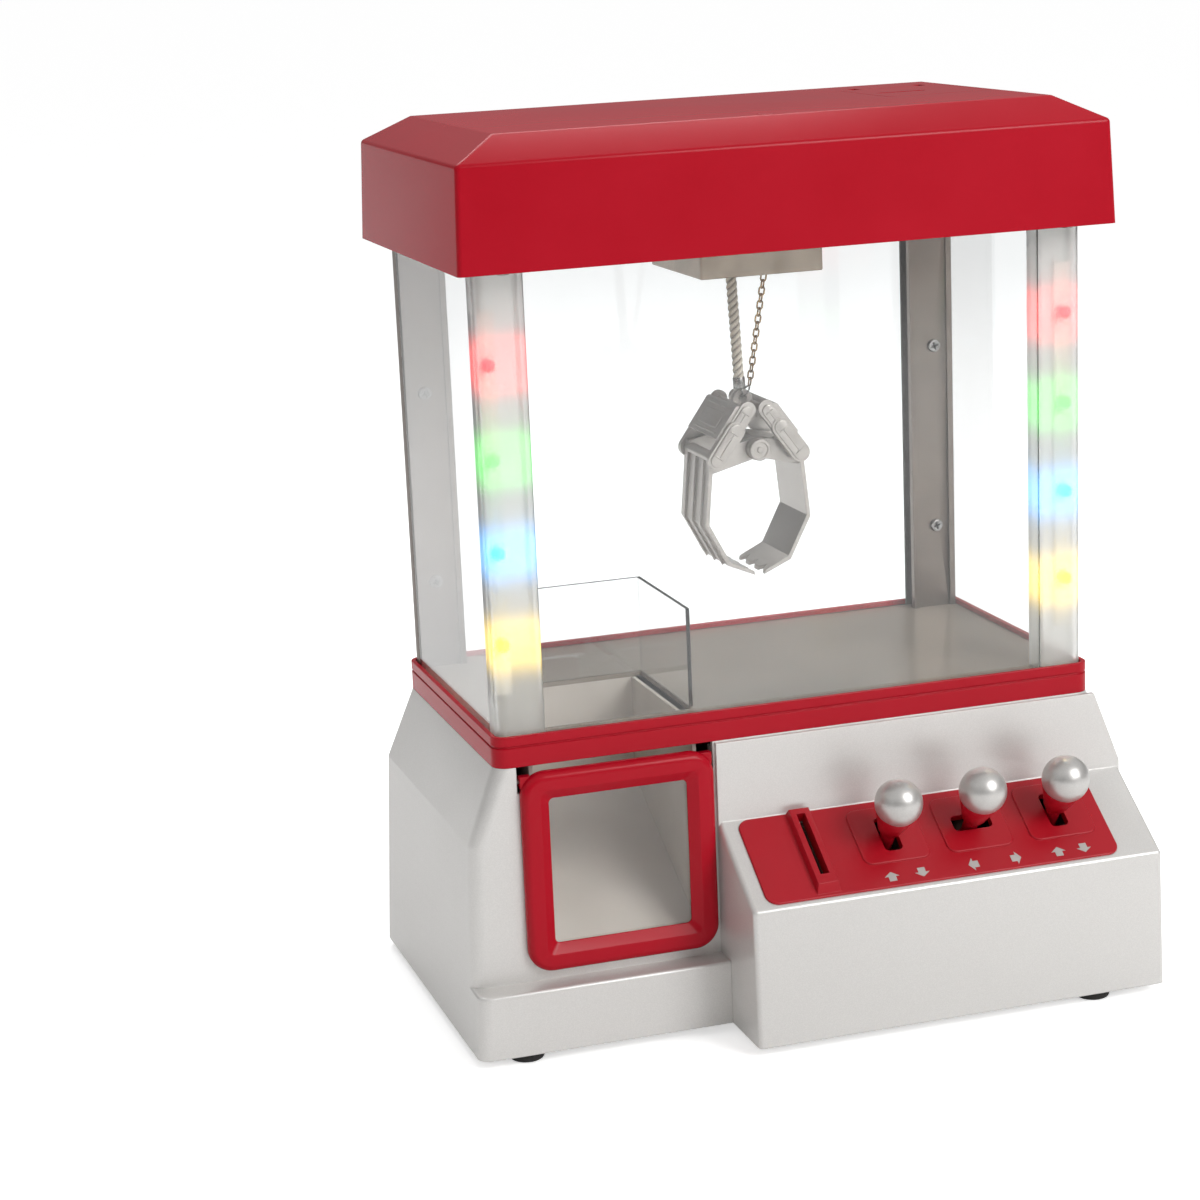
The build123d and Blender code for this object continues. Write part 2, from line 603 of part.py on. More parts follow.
def prize_ramp():
    """The chute under the floor: two sides, a back and a sloping bottom down to the door."""
    front = FRONT + WALL + 0.6
    x0 = DOOR_LEFT + DOOR_OVERLAP + 2.5
    x1 = DOOR_RIGHT - DOOR_OVERLAP - 2.5
    back = CHUTE_BACK + RAMP_WALL
    outline = ((front, RAMP_LOW - 2), (front, FLOOR_UNDER), (back, FLOOR_UNDER), (back, RAMP_HIGH))
    outer = side_profile(outline, x0, x1)
    slope = (RAMP_HIGH - RAMP_LOW) / (back - front)
    inner_back = CHUTE_BACK
    rise = RAMP_LOW + slope * (inner_back - front)
    inner = side_profile(((front - 1, RAMP_LOW), (front - 1, FLOOR_UNDER + 1), (inner_back, FLOOR_UNDER + 1),
                          (inner_back, rise)), x0 + RAMP_WALL, x1 - RAMP_WALL)
    ramp = outer - inner
    above_rim = block(x0 - 1, x1 + 1, front - 1, FRONT + RIM_LEDGE + GAP, BASE_HEIGHT, FLOOR_UNDER + 1)
    return ramp - above_rim


# ---------------------------------------------------------------- windows and uprights

def windows():
    """Clear sheets on four sides, standing on the floor plate."""
    side_front = -INNER_Y + COLUMN_DEPTH
    side_back = INNER_Y - POST_DEPTH
    across = INNER_X - COLUMN_WIDTH
    return {
        "window_front": block(-across, across, -INNER_Y, -INNER_Y + WINDOW_WALL, FLOOR_TOP, CEILING),
        "window_rear": block(-(INNER_X - POST_WIDTH), INNER_X - POST_WIDTH, INNER_Y - WINDOW_WALL, INNER_Y,
                             FLOOR_TOP, CEILING),
        "window_left": block(-INNER_X, -INNER_X + WINDOW_WALL, side_front, side_back, FLOOR_TOP, CEILING),
        "window_right": block(INNER_X - WINDOW_WALL, INNER_X, side_front, side_back, FLOOR_TOP, CEILING),
    }


def column():
    """The right front column: a frosted tube with a rounded outer corner, open at both ends."""
    x0 = INNER_X - COLUMN_WIDTH
    height = CEILING - FLOOR_TOP
    outer = block(x0, INNER_X, -INNER_Y, -INNER_Y + COLUMN_DEPTH, FLOOR_TOP, CEILING)
    corner = outer.edges().filter_by(Axis.Z).sort_by(lambda e: e.center().X - e.center().Y)[-1]
    outer = fillet(corner, COLUMN_CORNER)
    inner = block(x0 + COLUMN_WALL, INNER_X - COLUMN_WALL, -INNER_Y + COLUMN_WALL,
                  -INNER_Y + COLUMN_DEPTH - COLUMN_WALL, FLOOR_TOP - 1, CEILING + 1)
    corner = inner.edges().filter_by(Axis.Z).sort_by(lambda e: e.center().X - e.center().Y)[-1]
    inner = fillet(corner, COLUMN_CORNER - COLUMN_WALL)
    return outer - inner


def post():
    """The right rear post: an upright angle with a flat face to the front and two raised lips."""
    x0 = INNER_X - POST_WIDTH
    y0 = INNER_Y - POST_DEPTH
    face = block(x0, INNER_X, y0, y0 + POST_WALL, FLOOR_TOP, CEILING)
    side = block(INNER_X - POST_WALL, INNER_X, y0, INNER_Y, FLOOR_TOP, CEILING)
    back = block(x0, INNER_X, INNER_Y - POST_WALL, INNER_Y, FLOOR_TOP, CEILING)
    lips = block(x0, x0 + 2.4, y0 - POST_LIP, y0, FLOOR_TOP, CEILING)
    lips += block(INNER_X - WINDOW_WALL - 2.4, INNER_X - WINDOW_WALL, y0 - POST_LIP, y0, FLOOR_TOP, CEILING)
    angle = face + side + back + lips
    corner = angle.edges().filter_by(Axis.Z).sort_by(lambda e: e.center().X + e.center().Y)[-1]
    angle = fillet(corner, CORNER - RIM_WALL + GAP)
    for x, z in post_screw_places():
        angle -= along_y(SCREW_RADIUS, y0 - 1, y0 + POST_WALL + 1, x, z)
    return angle


def post_screw_places():
    """Middles of the screws in the right rear post."""
    x = INNER_X - POST_WIDTH / 2 + 0.4
    return [(x, FLOOR_TOP + 36.8), (x, FLOOR_TOP + 116.8)]


def led_board():
    """The narrow circuit board inside the right column."""
    x = INNER_X - COLUMN_WALL - 3.5
    y = -INNER_Y + COLUMN_DEPTH - COLUMN_WALL
    return block(x - LED_BOARD_WIDTH / 2, x + LED_BOARD_WIDTH / 2, y - BOARD_THICKNESS, y,
                 LED_HEIGHTS[0] - 20, LED_HEIGHTS[-1] + 20)


def led_row():
    """Four lamps on the right column's board: a round body and a domed end, facing forward."""
    x = INNER_X - COLUMN_WALL - 3.5
    y = -INNER_Y + COLUMN_DEPTH - COLUMN_WALL - BOARD_THICKNESS
    lamps = []
    for z in LED_HEIGHTS:
        barrel = along_y(LED_RADIUS, y - LED_BODY, y, x, z)
        dome = Pos(x, y - LED_BODY, z) * Sphere(LED_RADIUS)
        lamps.append(barrel + dome)
    return lamps


# ---------------------------------------------------------------- roof

def roof_solid(inset, drop):
    """The roof's outer form, or the same form drawn in by a wall and lowered."""
    levels = (
        (ROOF_BOTTOM, ROOF_HALF_W, ROOF_HALF_D),
        (ROOF_WALL_TOP - drop * 0.6, ROOF_HALF_W - ROOF_DRAFT, ROOF_HALF_D - ROOF_DRAFT),
        (ROOF_TOP - drop, ROOF_HALF_W - ROOF_DRAFT - ROOF_BEVEL_X, ROOF_HALF_D - ROOF_DRAFT - ROOF_BEVEL_Y),
    )
    faces = [Pos(0, 0, z) * Rectangle(2 * (w - inset), 2 * (d - inset)) for z, w, d in levels]
    return loft(faces, ruled=True)


def roof_screw_places():
    """The four screws that hold the ceiling plate up into the roof."""
    x = HALF_W - 12
    y = (HALF_D + ROOF_HALF_D - WALL) / 2
    return [(sx * x, sy * y) for sx in (-1, 1) for sy in (-1, 1)]


def roof_cap():
    """The red roof: a moulded shell with a sloped border, a flat top and the filling hatch's opening."""
    outer = roof_solid(0, 0)
    outer = fillet(outer.edges().filter_by(lambda e: e.center().Z > ROOF_BOTTOM + 0.1), ROOF_CORNER)
    shell = outer - roof_solid(WALL, WALL)
    for x, y in roof_screw_places():
        shell += upright(BOSS_RADIUS, CEILING_TOP, ROOF_TOP, x, y) & outer
        shell -= upright(SCREW_RADIUS, CEILING_TOP - 1, CEILING_TOP + 12, x, y)
    shell -= block(HATCH_LEFT, HATCH_LEFT + HATCH_WIDTH, HATCH_FRONT, HATCH_FRONT + HATCH_DEPTH,
                   ROOF_TOP - WALL - 4, ROOF_TOP + 1)
    for x0 in (HATCH_LEFT + HATCH_EAR, HATCH_LEFT + HATCH_WIDTH - 2 * HATCH_EAR):
        ear = block(x0, x0 + HATCH_EAR, HATCH_PIVOT_Y - 2.4, HATCH_PIVOT_Y + 2.4, HATCH_PIVOT_Z - 2.4,
                    ROOF_TOP - WALL + 0.6)
        ear -= along_x(HATCH_PIN_RADIUS + PIN_CLEARANCE, x0 - 1, x0 + 4, HATCH_PIVOT_Y, HATCH_PIVOT_Z)
        shell += ear
    for x0 in knuckle_places():
        shell -= block(x0 - GAP, x0 + HATCH_EAR + GAP, HATCH_FRONT + HATCH_DEPTH - 1, HATCH_PIVOT_Y + 2.6,
                       ROOF_TOP - WALL - 1, ROOF_TOP + 1)
    return shell


def knuckle_places():
    """Left side of each of the hatch's two hinge knuckles, just inside the roof's ears."""
    return (HATCH_LEFT + 2 * HATCH_EAR + GAP, HATCH_LEFT + HATCH_WIDTH - 3 * HATCH_EAR - GAP)


def hatch_lid():
    """The filling hatch: a flat lid with a finger recess and two hinge knuckles under its back edge."""
    x0 = HATCH_LEFT + GAP
    x1 = HATCH_LEFT + HATCH_WIDTH - GAP
    y0 = HATCH_FRONT + GAP
    y1 = HATCH_FRONT + HATCH_DEPTH - GAP
    lid = block(x0, x1, y0, y1, ROOF_TOP - WALL, ROOF_TOP)
    lid = fillet(lid.edges().filter_by(Axis.Z), 1.0)
    grip = block(x0 + 5, x0 + 5 + HATCH_GRIP, y0 + 22, y0 + 24.6, ROOF_TOP - 1.4, ROOF_TOP + 1)
    lid -= fillet(grip.edges().filter_by(Axis.Z), 1.0)
    relief = WALL - GAP
    under = ROOF_TOP - WALL
    wedge = ((y1 - relief - 1, under - 1), (y1 + 1, under - 1), (y1 + 1, under + relief + 1))
    lid -= side_profile(wedge, x0 - 1, x1 + 1)
    for knuckle_x in knuckle_places():
        end_x = knuckle_x + HATCH_EAR
        arm = block(knuckle_x, end_x, y1 - 7, HATCH_PIVOT_Y, HATCH_PIVOT_Z - 1.8, HATCH_PIVOT_Z + 1.2)
        arm += block(knuckle_x, end_x, y1 - 7, y1 - 3, HATCH_PIVOT_Z, ROOF_TOP - WALL + 0.4)
        arm += along_x(1.8, knuckle_x, end_x, HATCH_PIVOT_Y, HATCH_PIVOT_Z)
        lid += arm
    return lid - along_x(HATCH_PIN_RADIUS, x0, x1, HATCH_PIVOT_Y, HATCH_PIVOT_Z)


def hatch_pin():
    """The hatch's hinge pin, which turns in the roof's ears with the lid."""
    x0 = HATCH_LEFT + HATCH_EAR
    x1 = HATCH_LEFT + HATCH_WIDTH - HATCH_EAR
    return along_x(HATCH_PIN_RADIUS, x0, x1, HATCH_PIVOT_Y, HATCH_PIVOT_Z)


def ceiling_plate():
    """The plate over the windows, open under the trolley and the hatch, with two rails for the gantry."""
    x = ROOF_HALF_W - WALL
    y = ROOF_HALF_D - WALL
    plate = extrude(section(CEILING, x, -y, y, 1.5), amount=CEILING_THICKNESS)
    plate = plate & roof_solid(WALL, WALL)
    reach = TROLLEY_WIDTH / 2 + TROLLEY_TRAVEL + OPENING_MARGIN
    front = TROLLEY_Y - TROLLEY_DEPTH / 2 - GANTRY_FORWARD - 1.5
    back = TROLLEY_Y + TROLLEY_DEPTH / 2 + GANTRY_BACK + 1.5
    plate -= block(-reach, reach, front, back, CEILING - 1, CEILING_TOP + 1)
    plate -= block(HATCH_LEFT, HATCH_LEFT + HATCH_WIDTH - 5, HATCH_FRONT, HATCH_FRONT + HATCH_DEPTH,
                   CEILING - 1, CEILING_TOP + 1)
    middle = SHOE_OUT - SHOE_WIDTH / 2
    low = TROLLEY_Y - GANTRY_FORWARD - SHOE_LENGTH / 2 - 2
    high = TROLLEY_Y + GANTRY_BACK + SHOE_LENGTH / 2 + 2
    for side in (-1, 1):
        for offset in (-1, 1):
            inner = KEEL_WIDTH / 2 + GAP
            centre = side * middle + offset * (inner + RAIL_WALL / 2)
            plate += block(centre - RAIL_WALL / 2, centre + RAIL_WALL / 2, low, high, CEILING_TOP,
                           CEILING_TOP + RAIL_HEIGHT)
    for x, y in roof_screw_places():
        plate -= upright(SCREW_RADIUS, CEILING - 1, CEILING_TOP + 1, x, y)
    return plate + gantry_rack()


# ---------------------------------------------------------------- toothed drives

def rack_bar(length, width):
    """A straight rack along +X from the origin, teeth up; its pitch line is a dedendum over the backing."""
    pitch = pi * TOOTH_MODULE
    pitch_z = RACK_BACKING + DEDENDUM * TOOTH_MODULE
    lean = tan(radians(PRESSURE_ANGLE)) * TOOTH_MODULE
    half = pitch / 4 - TOOTH_BACKLASH / 2
    bar = block(0, length, -width / 2, width / 2, 0, RACK_BACKING)
    count = int(length / pitch)
    teeth = []
    for index in range(count):
        centre = (length - count * pitch) / 2 + (index + 0.5) * pitch
        root = half + DEDENDUM * lean
        tip = half - ADDENDUM * lean
        outline = ((centre - root, RACK_BACKING - 0.2), (centre + root, RACK_BACKING - 0.2),
                   (centre + tip, pitch_z + ADDENDUM * TOOTH_MODULE),
                   (centre - tip, pitch_z + ADDENDUM * TOOTH_MODULE))
        teeth.append(front_profile(outline, -width / 2, width / 2))
    return bar + teeth


def pinion(width):
    """A small gear about +Z, its bottom face at z = 0, with one tooth space along -X."""
    root_radius = PINION_RADIUS - DEDENDUM * TOOTH_MODULE
    tip_radius = PINION_RADIUS + ADDENDUM * TOOTH_MODULE
    step = 2 * pi / PINION_TEETH
    half = step / 4 - TOOTH_BACKLASH / 2 / PINION_RADIUS
    gear = Pos(0, 0, width / 2) * Cylinder(root_radius, width)
    for index in range(PINION_TEETH):
        angle = (index + 0.5) * step
        ring = ((root_radius - 0.3, half * 1.35), (PINION_RADIUS, half), (tip_radius, half * 0.55))
        left = [(r * cos(angle - a), r * sin(angle - a), 0) for r, a in ring]
        right = [(r * cos(angle + a), r * sin(angle + a), 0) for r, a in reversed(ring)]
        gear += extrude(make_face(Polyline(*left, *right, close=True)), amount=width, dir=(0, 0, 1))
    return gear - Pos(0, 0, width / 2) * Cylinder(PINION_BORE, width + 2)


def gantry_rack():
    """The rack moulded on the ceiling plate for the gantry's pinion, teeth up, along Y."""
    low = TROLLEY_Y - GANTRY_FORWARD - 8
    length = GANTRY_FORWARD + GANTRY_BACK + 16
    phase = rack_phase(low, length, TROLLEY_Y)
    bar = rack_bar(length, RACK_WIDTH)
    return Pos(GANTRY_PINION_X, low + phase, CEILING_TOP - RACK_SINK) * Rot(0, 0, 90) * bar


def rack_phase(start, length, at):
    """How far to shift a rack so that one of its teeth is centred at the given place."""
    pitch = pi * TOOTH_MODULE
    count = int(length / pitch)
    first = start + (length - count * pitch) / 2 + 0.5 * pitch
    steps = round((at - first) / pitch)
    return at - first - steps * pitch


def gantry_pinion():
    """The gantry's pinion, its shaft along X, meshing with the rack below it."""
    gear = pinion(PINION_WIDTH)
    turned = Rot(0, 90, 0) * gear
    low = Pos(GANTRY_PINION_X - PINION_WIDTH / 2, TROLLEY_Y, GEAR_Z) * Rot(90, 0, 0) * turned
    return low


def gantry_motor():
    """The gantry motor with its shaft, pressed into the left shoe."""
    x1 = -SHOE_IN
    can = along_x(MOTOR_RADIUS, x1 - MOTOR_LENGTH, x1, TROLLEY_Y, GEAR_Z)
    end_x = GANTRY_PINION_X + PINION_WIDTH / 2 + 0.5
    shaft = along_x(PINION_BORE - PIN_CLEARANCE, x1, end_x, TROLLEY_Y, GEAR_Z)
    return can + shaft


def bridge_frame():
    """The gantry's moulded frame: two shoes on the rails and a toothed bar between them."""
    parts = None
    for side in (-1, 1):
        x0, x1 = sorted((side * SHOE_IN, side * SHOE_OUT))
        middle = side * (SHOE_OUT - SHOE_WIDTH / 2)
        y0 = TROLLEY_Y - SHOE_LENGTH / 2
        y1 = TROLLEY_Y + SHOE_LENGTH / 2
        shoe = block(x0, x1, y0, y1, CEILING_TOP + SHOE_LIFT, CEILING_TOP + SHOE_TOP)
        keel = block(middle - KEEL_WIDTH / 2, middle + KEEL_WIDTH / 2, y0, y1, CEILING_TOP + GAP,
                     CEILING_TOP + SHOE_LIFT)
        riser = block(x0, x1, BRIDGE_BAR_Y, BRIDGE_BAR_Y + DRIVE_BAR_THICKNESS, CEILING_TOP + SHOE_LIFT,
                      TROLLEY_PINION_Z + DRIVE_BAR_HEIGHT)
        shoe = shoe + keel + riser
        shoe -= along_x(MOTOR_RADIUS, -SHOE_IN - MOTOR_LENGTH, -SHOE_IN + 1, TROLLEY_Y, GEAR_Z)
        for y in (TROLLEY_Y - ROD_SPREAD, TROLLEY_Y + ROD_SPREAD):
            shoe -= along_x(ROD_RADIUS, -SHOE_IN - 10, SHOE_IN + 10, y, ROD_Z)
        parts = shoe if parts is None else parts + shoe
    length = 2 * SHOE_IN + 4
    low = -length / 2
    bar = rack_bar(length, DRIVE_BAR_HEIGHT)
    phase = rack_phase(low, length, PINION_OFFSET)
    bar_z = TROLLEY_PINION_Z + DRIVE_BAR_HEIGHT / 2
    toothed = Pos(low + phase, BRIDGE_BAR_Y + RACK_BACKING, bar_z) * Rot(90, 0, 0) * bar
    toothed = toothed & block(-SHOE_IN, SHOE_IN, -200, 200, 0, 500)
    web_y = BRIDGE_BAR_Y + RACK_BACKING - 0.4
    web = block(-SHOE_IN - 2, SHOE_IN + 2, web_y, BRIDGE_BAR_Y + DRIVE_BAR_THICKNESS,
                TROLLEY_PINION_Z, TROLLEY_PINION_Z + DRIVE_BAR_HEIGHT)
    return parts + (toothed + web)


def bridge_rods():
    """The two steel rods that the trolley slides on."""
    rods = []
    for y in (TROLLEY_Y - ROD_SPREAD, TROLLEY_Y + ROD_SPREAD):
        rods.append(along_x(ROD_RADIUS, -SHOE_IN - 10, SHOE_IN + 10, y, ROD_Z))
    return Compound(rods)


def trolley_housing():
    """The carriage box, open at the top, with holes for the rods, the rope and the chain."""
    x = TROLLEY_WIDTH / 2
    y0 = TROLLEY_Y - TROLLEY_DEPTH / 2
    y1 = TROLLEY_Y + TROLLEY_DEPTH / 2
    outer = block(-x, x, y0, y1, TROLLEY_FLOOR, TROLLEY_TOP)
    outer = fillet(outer.edges().filter_by(Axis.Z), 1.2)
    outer = fillet(outer.faces().sort_by(Axis.Z)[0].edges(), 0.6)
    box = outer - block(-x + TROLLEY_WALL, x - TROLLEY_WALL, y0 + TROLLEY_WALL, y1 - TROLLEY_WALL,
                        TROLLEY_FLOOR + TROLLEY_WALL, TROLLEY_TOP + 1)
    deck = block(-x + TROLLEY_WALL, x - TROLLEY_WALL, TROLLEY_PINION_Y - 10, y1 - TROLLEY_WALL,
                 TROLLEY_TOP - TROLLEY_WALL, TROLLEY_TOP)
    box += deck - upright(PINION_BORE + 0.5, 0, 500, PINION_OFFSET, TROLLEY_PINION_Y)
    for y in (TROLLEY_Y - ROD_SPREAD, TROLLEY_Y + ROD_SPREAD):
        box -= along_x(ROD_RADIUS + PIN_CLEARANCE, -x - 1, x + 1, y, ROD_Z)
    box -= along_x(DRUM_AXLE_RADIUS + PIN_CLEARANCE, -x - 1, x + 1, DRUM_Y, DRUM_Z)
    for top_x, low_x in ((ROPE_TOP_X, ROPE_LOW_X), (CHAIN_TOP_X, CHAIN_LOW_X)):
        hole_x = top_x + (low_x - top_x) * (DRUM_Z - TROLLEY_FLOOR) / (DRUM_Z - LINE_LOW)
        box -= block(hole_x - LINE_HOLE, hole_x + LINE_HOLE, CLAW_Y - LINE_HOLE, CLAW_Y + LINE_HOLE,
                     TROLLEY_FLOOR - 1, TROLLEY_FLOOR + TROLLEY_WALL + 1)
    return box


def hoist_drum():
    """The drum, with one groove for the rope and one for the chain, on its own axle."""
    x = TROLLEY_WIDTH / 2
    left = ROPE_TOP_X - 5
    right = CHAIN_TOP_X + 5
    drum = along_x(DRUM_RADIUS, left, right, DRUM_Y, DRUM_Z)
    for centre in (left, (ROPE_TOP_X + CHAIN_TOP_X) / 2, right):
        half = DRUM_FLANGE / 2
        drum += along_x(DRUM_FLANGE_RADIUS, centre - half, centre + half, DRUM_Y, DRUM_Z)
    return drum + along_x(DRUM_AXLE_RADIUS, -x, x, DRUM_Y, DRUM_Z)


def trolley_motors():
    """The two motors in the carriage: one drives the trolley's pinion, one the hoist."""
    top = TROLLEY_TOP - TROLLEY_WALL
    drive = upright(MOTOR_RADIUS, top - 11, top, PINION_OFFSET, TROLLEY_PINION_Y)
    shaft = upright(PINION_BORE - PIN_CLEARANCE, top, TROLLEY_PINION_Z + PINION_WIDTH, PINION_OFFSET,
                    TROLLEY_PINION_Y)
    y = TROLLEY_Y - TROLLEY_DEPTH / 2 + TROLLEY_WALL + MOTOR_RADIUS + 1
    z = TROLLEY_FLOOR + TROLLEY_WALL + MOTOR_RADIUS
    hoist = along_x(MOTOR_RADIUS, -MOTOR_LENGTH / 2 - 8, MOTOR_LENGTH / 2 - 8, y, z)
    return Compound([drive + shaft, hoist])


def trolley_pinion():
    """The trolley's pinion on top of the carriage, its shaft upright, meshing with the bar behind it."""
    gear = pinion(PINION_WIDTH)
    return Pos(PINION_OFFSET, TROLLEY_PINION_Y, TROLLEY_PINION_Z) * Rot(0, 0, -90) * gear


# ---------------------------------------------------------------- claw, drawn about the hub

def at_claw(shape):
    """Move a piece from the hub's own frame to its place at rest."""
    return Pos(0, CLAW_Y, HUB_HEIGHT) * shape


def line_between(radius, top_x, top_z, low_x, low_z):
    """A straight round line from the carriage down to the lug."""
    start = Vector(top_x, CLAW_Y, top_z)
    end = Vector(low_x, CLAW_Y, low_z)
    path = end - start
    plane = Plane(origin=start, z_dir=path)
    return extrude(plane * Circle(radius), amount=path.length, dir=path.normalized())


def rope():
    """The hoist rope, from the drum to just above the lug."""
    return line_between(ROPE_RADIUS, ROPE_TOP_X, DRUM_Z, ROPE_LOW_X, LINE_LOW)


def chain():
    """The closing chain, beside the rope."""
    return line_between(CHAIN_RADIUS, CHAIN_TOP_X, DRUM_Z, CHAIN_LOW_X, LINE_LOW)


def claw_head():
    """The block at the top of the claw: a lug for the lines and two pivot rods."""
    lug = along_y(LUG_RADIUS, -LUG_WALL / 2, LUG_WALL / 2, 0, LUG_RISE)
    neck = block(-2.4, 2.4, -LUG_WALL / 2, LUG_WALL / 2, HEAD_RISE - 4, LUG_RISE)
    body = block(-2.6, 2.6, -9.5, 9.5, HEAD_RISE - 5.5, HEAD_RISE - 0.6)
    web = block(-HEAD_PIVOT_X, HEAD_PIVOT_X, -8, 8, HEAD_RISE - 2.2, HEAD_RISE - 0.4)
    head = lug + neck + body + web
    for side in (-1, 1):
        head += along_y(PIVOT_RADIUS, -ARM_FRONT + 0.8, ARM_FRONT - 0.8, side * HEAD_PIVOT_X, HEAD_RISE)
    head -= along_y(LUG_HOLE, -5, 5, 0, LUG_RISE + 0.6)
    return at_claw(head)


def bar_outline(x0, z0, x1, z1, radius, y0, y1):
    """A flat bar with round ends between two points, along Y from y0 to y1."""
    length = sqrt((x1 - x0) ** 2 + (z1 - z0) ** 2)
    angle = degrees(atan2(z1 - z0, x1 - x0))
    bar = block(0, length, y0, y1, -radius, radius)
    bar += along_y(radius, y0, y1, 0, 0) + along_y(radius, y0, y1, length, 0)
    return Pos(x0, 0, z0) * Rot(0, -angle, 0) * bar


def link_right():
    """The right link: a front and a back arm from head to shoulder, joined by a plate outside."""
    run_x = SHOULDER_X - HEAD_PIVOT_X
    run_z = SHOULDER_Z - HEAD_RISE
    length = sqrt(run_x ** 2 + run_z ** 2)
    ux, uz = run_x / length, run_z / length
    nx, nz = -uz, ux
    mid_x = HEAD_PIVOT_X + ux * length * 0.42
    mid_z = HEAD_RISE + uz * length * 0.42
    inner = CLAW_HALF_DEPTH + GAP
    link = None
    for side in (-1, 1):
        thin = sorted((side * inner, side * (ARM_FRONT - LINK_STEP)))
        full = sorted((side * inner, side * ARM_FRONT))
        upper = bar_outline(HEAD_PIVOT_X, HEAD_RISE, mid_x, mid_z, LINK_RADIUS - 0.5, *thin)
        lower = bar_outline(mid_x, mid_z, SHOULDER_X, SHOULDER_Z, LINK_RADIUS, *full)
        arm = upper + lower
        link = arm if link is None else link + arm
    plate_start = 3.0
    plate_end = length - 7.0
    outer = LINK_RADIUS + 1.0
    corners = []
    inside = outer - 1.8
    for distance, offset in ((plate_start, outer), (plate_end, outer),
                             (plate_end, inside), (plate_start, inside)):
        corners.append((HEAD_PIVOT_X + ux * distance + nx * offset, HEAD_RISE + uz * distance + nz * offset))
    plate = front_profile(corners, -inner - 1.5, inner + 1.5)
    roller = along_y(1.7, -inner - 1.5, inner + 1.5, HEAD_PIVOT_X + ux * 2.2 + nx * (outer - 1.6),
                     HEAD_RISE + uz * 2.2 + nz * (outer - 1.6))
    link = link + plate + roller
    link -= along_y(PIVOT_RADIUS + PIN_CLEARANCE, -30, 30, HEAD_PIVOT_X, HEAD_RISE)
    link -= along_y(OPEN_PIVOT_RADIUS, -ARM_FRONT + 0.8, ARM_FRONT - 0.8, SHOULDER_X, SHOULDER_Z)
    return link


def jaw_right(arm_inner):
    """The right jaw: a bent, ribbed plate with a pointed edge, and two arms to the hub."""
    outer = [(SHOULDER_X + 2.3, SHOULDER_Z - 1.0), (JAW_ELBOW_X, JAW_ELBOW_Z), (JAW_KNEE_X, JAW_KNEE_Z),
             (JAW_TIP_X, JAW_TIP_Z)]
    inner = [(SHOULDER_X + 2.3 - JAW_WALL, SHOULDER_Z - 1.0), (JAW_ELBOW_X - JAW_WALL, JAW_ELBOW_Z + 0.5),
             (JAW_KNEE_X - JAW_WALL * 0.6, JAW_KNEE_Z + JAW_WALL * 0.9),
             (JAW_TIP_X + 0.4, JAW_TIP_Z + JAW_WALL)]
    plate = front_profile(outer + inner[::-1], -CLAW_HALF_DEPTH, CLAW_HALF_DEPTH)
    for low in (-1, 0, 1):
        y = low * CLAW_HALF_DEPTH * 2 / 3
        tooth_gap = Polyline((JAW_TIP_X - 2, y - 4.4, -80), (JAW_TIP_X - 2, y + 4.4, -80),
                             (JAW_TIP_X + JAW_TOOTH_DEPTH, y, -80), close=True)
        plate -= extrude(make_face(tooth_gap), amount=38, dir=(0, 0, 1))
    ribs = None
    for y in (-9.5, 0.0, 9.5):
        rib_outer = [(x + RIB_HEIGHT, z) for x, z in outer[:2]] + [(JAW_KNEE_X + 0.6, JAW_KNEE_Z - 0.6)]
        rib_inner = [(x - 0.4, z) for x, z in outer[:2]] + [(JAW_KNEE_X - 0.2, JAW_KNEE_Z + 0.4)]
        rib = front_profile(rib_outer + rib_inner[::-1], y - RIB_WIDTH / 2, y + RIB_WIDTH / 2)
        ribs = rib if ribs is None else ribs + rib
    jaw = plate + ribs
    for side in (-1, 1):
        y0, y1 = sorted((side * arm_inner, side * (arm_inner + JAW_ARM)))
        web = front_profile(((0, HUB_RADIUS), (SHOULDER_X + 1.5, SHOULDER_Z + 3.4),
                             (SHOULDER_X + 2.3, SHOULDER_Z - 1), (SHOULDER_X + 1.6, SHOULDER_Z - 6.0),
                             (0, -HUB_RADIUS)), y0, y1)
        web += along_y(HUB_RADIUS, y0, y1, 0, 0)
        jaw += web
    jaw += along_y(PIVOT_RADIUS, -ARM_FRONT + 1.2, ARM_FRONT - 1.2, SHOULDER_X, SHOULDER_Z)
    jaw += along_y(2.4, -CLAW_HALF_DEPTH, CLAW_HALF_DEPTH, SHOULDER_X, SHOULDER_Z)
    jaw -= along_y(HUB_PIN_RADIUS + PIN_CLEARANCE, -30, 30, 0, 0)
    return jaw


def claw_hub():
    """The round block between the jaws' arms."""
    half = CLAW_HALF_DEPTH - 2 * JAW_ARM - 2 * GAP - 0.4
    block_round = along_y(HUB_RADIUS, -half, half, 0, 0)
    return at_claw(block_round - along_y(HUB_PIN_RADIUS, -40, 40, 0, 0))


def hub_pin():
    """The pin through the jaws with a round cap at each end."""
    half = CLAW_HALF_DEPTH + GAP
    pin = along_y(HUB_PIN_RADIUS, -half, half, 0, 0)
    for side in (-1, 1):
        y0, y1 = sorted((side * half, side * (half + HUB_CAP)))
        cap = along_y(HUB_CAP_RADIUS, y0, y1, 0, 0)
        pin += cap
    return at_claw(pin)


# ---------------------------------------------------------------- controls

def panel_plane():
    """The face of the slope: X across, Y up the slope, Z out of it, origin at its lower edge."""
    angle = radians(PANEL_ANGLE)
    corner = (0, PANEL_FOOT_Y, HOUSING_FRONT_HEIGHT)
    return Plane(origin=corner, x_dir=(1, 0, 0), z_dir=(0, -sin(angle), cos(angle)))


def on_panel(shape):
    """Move a piece from the slope's own frame to its place."""
    return panel_plane().location * shape


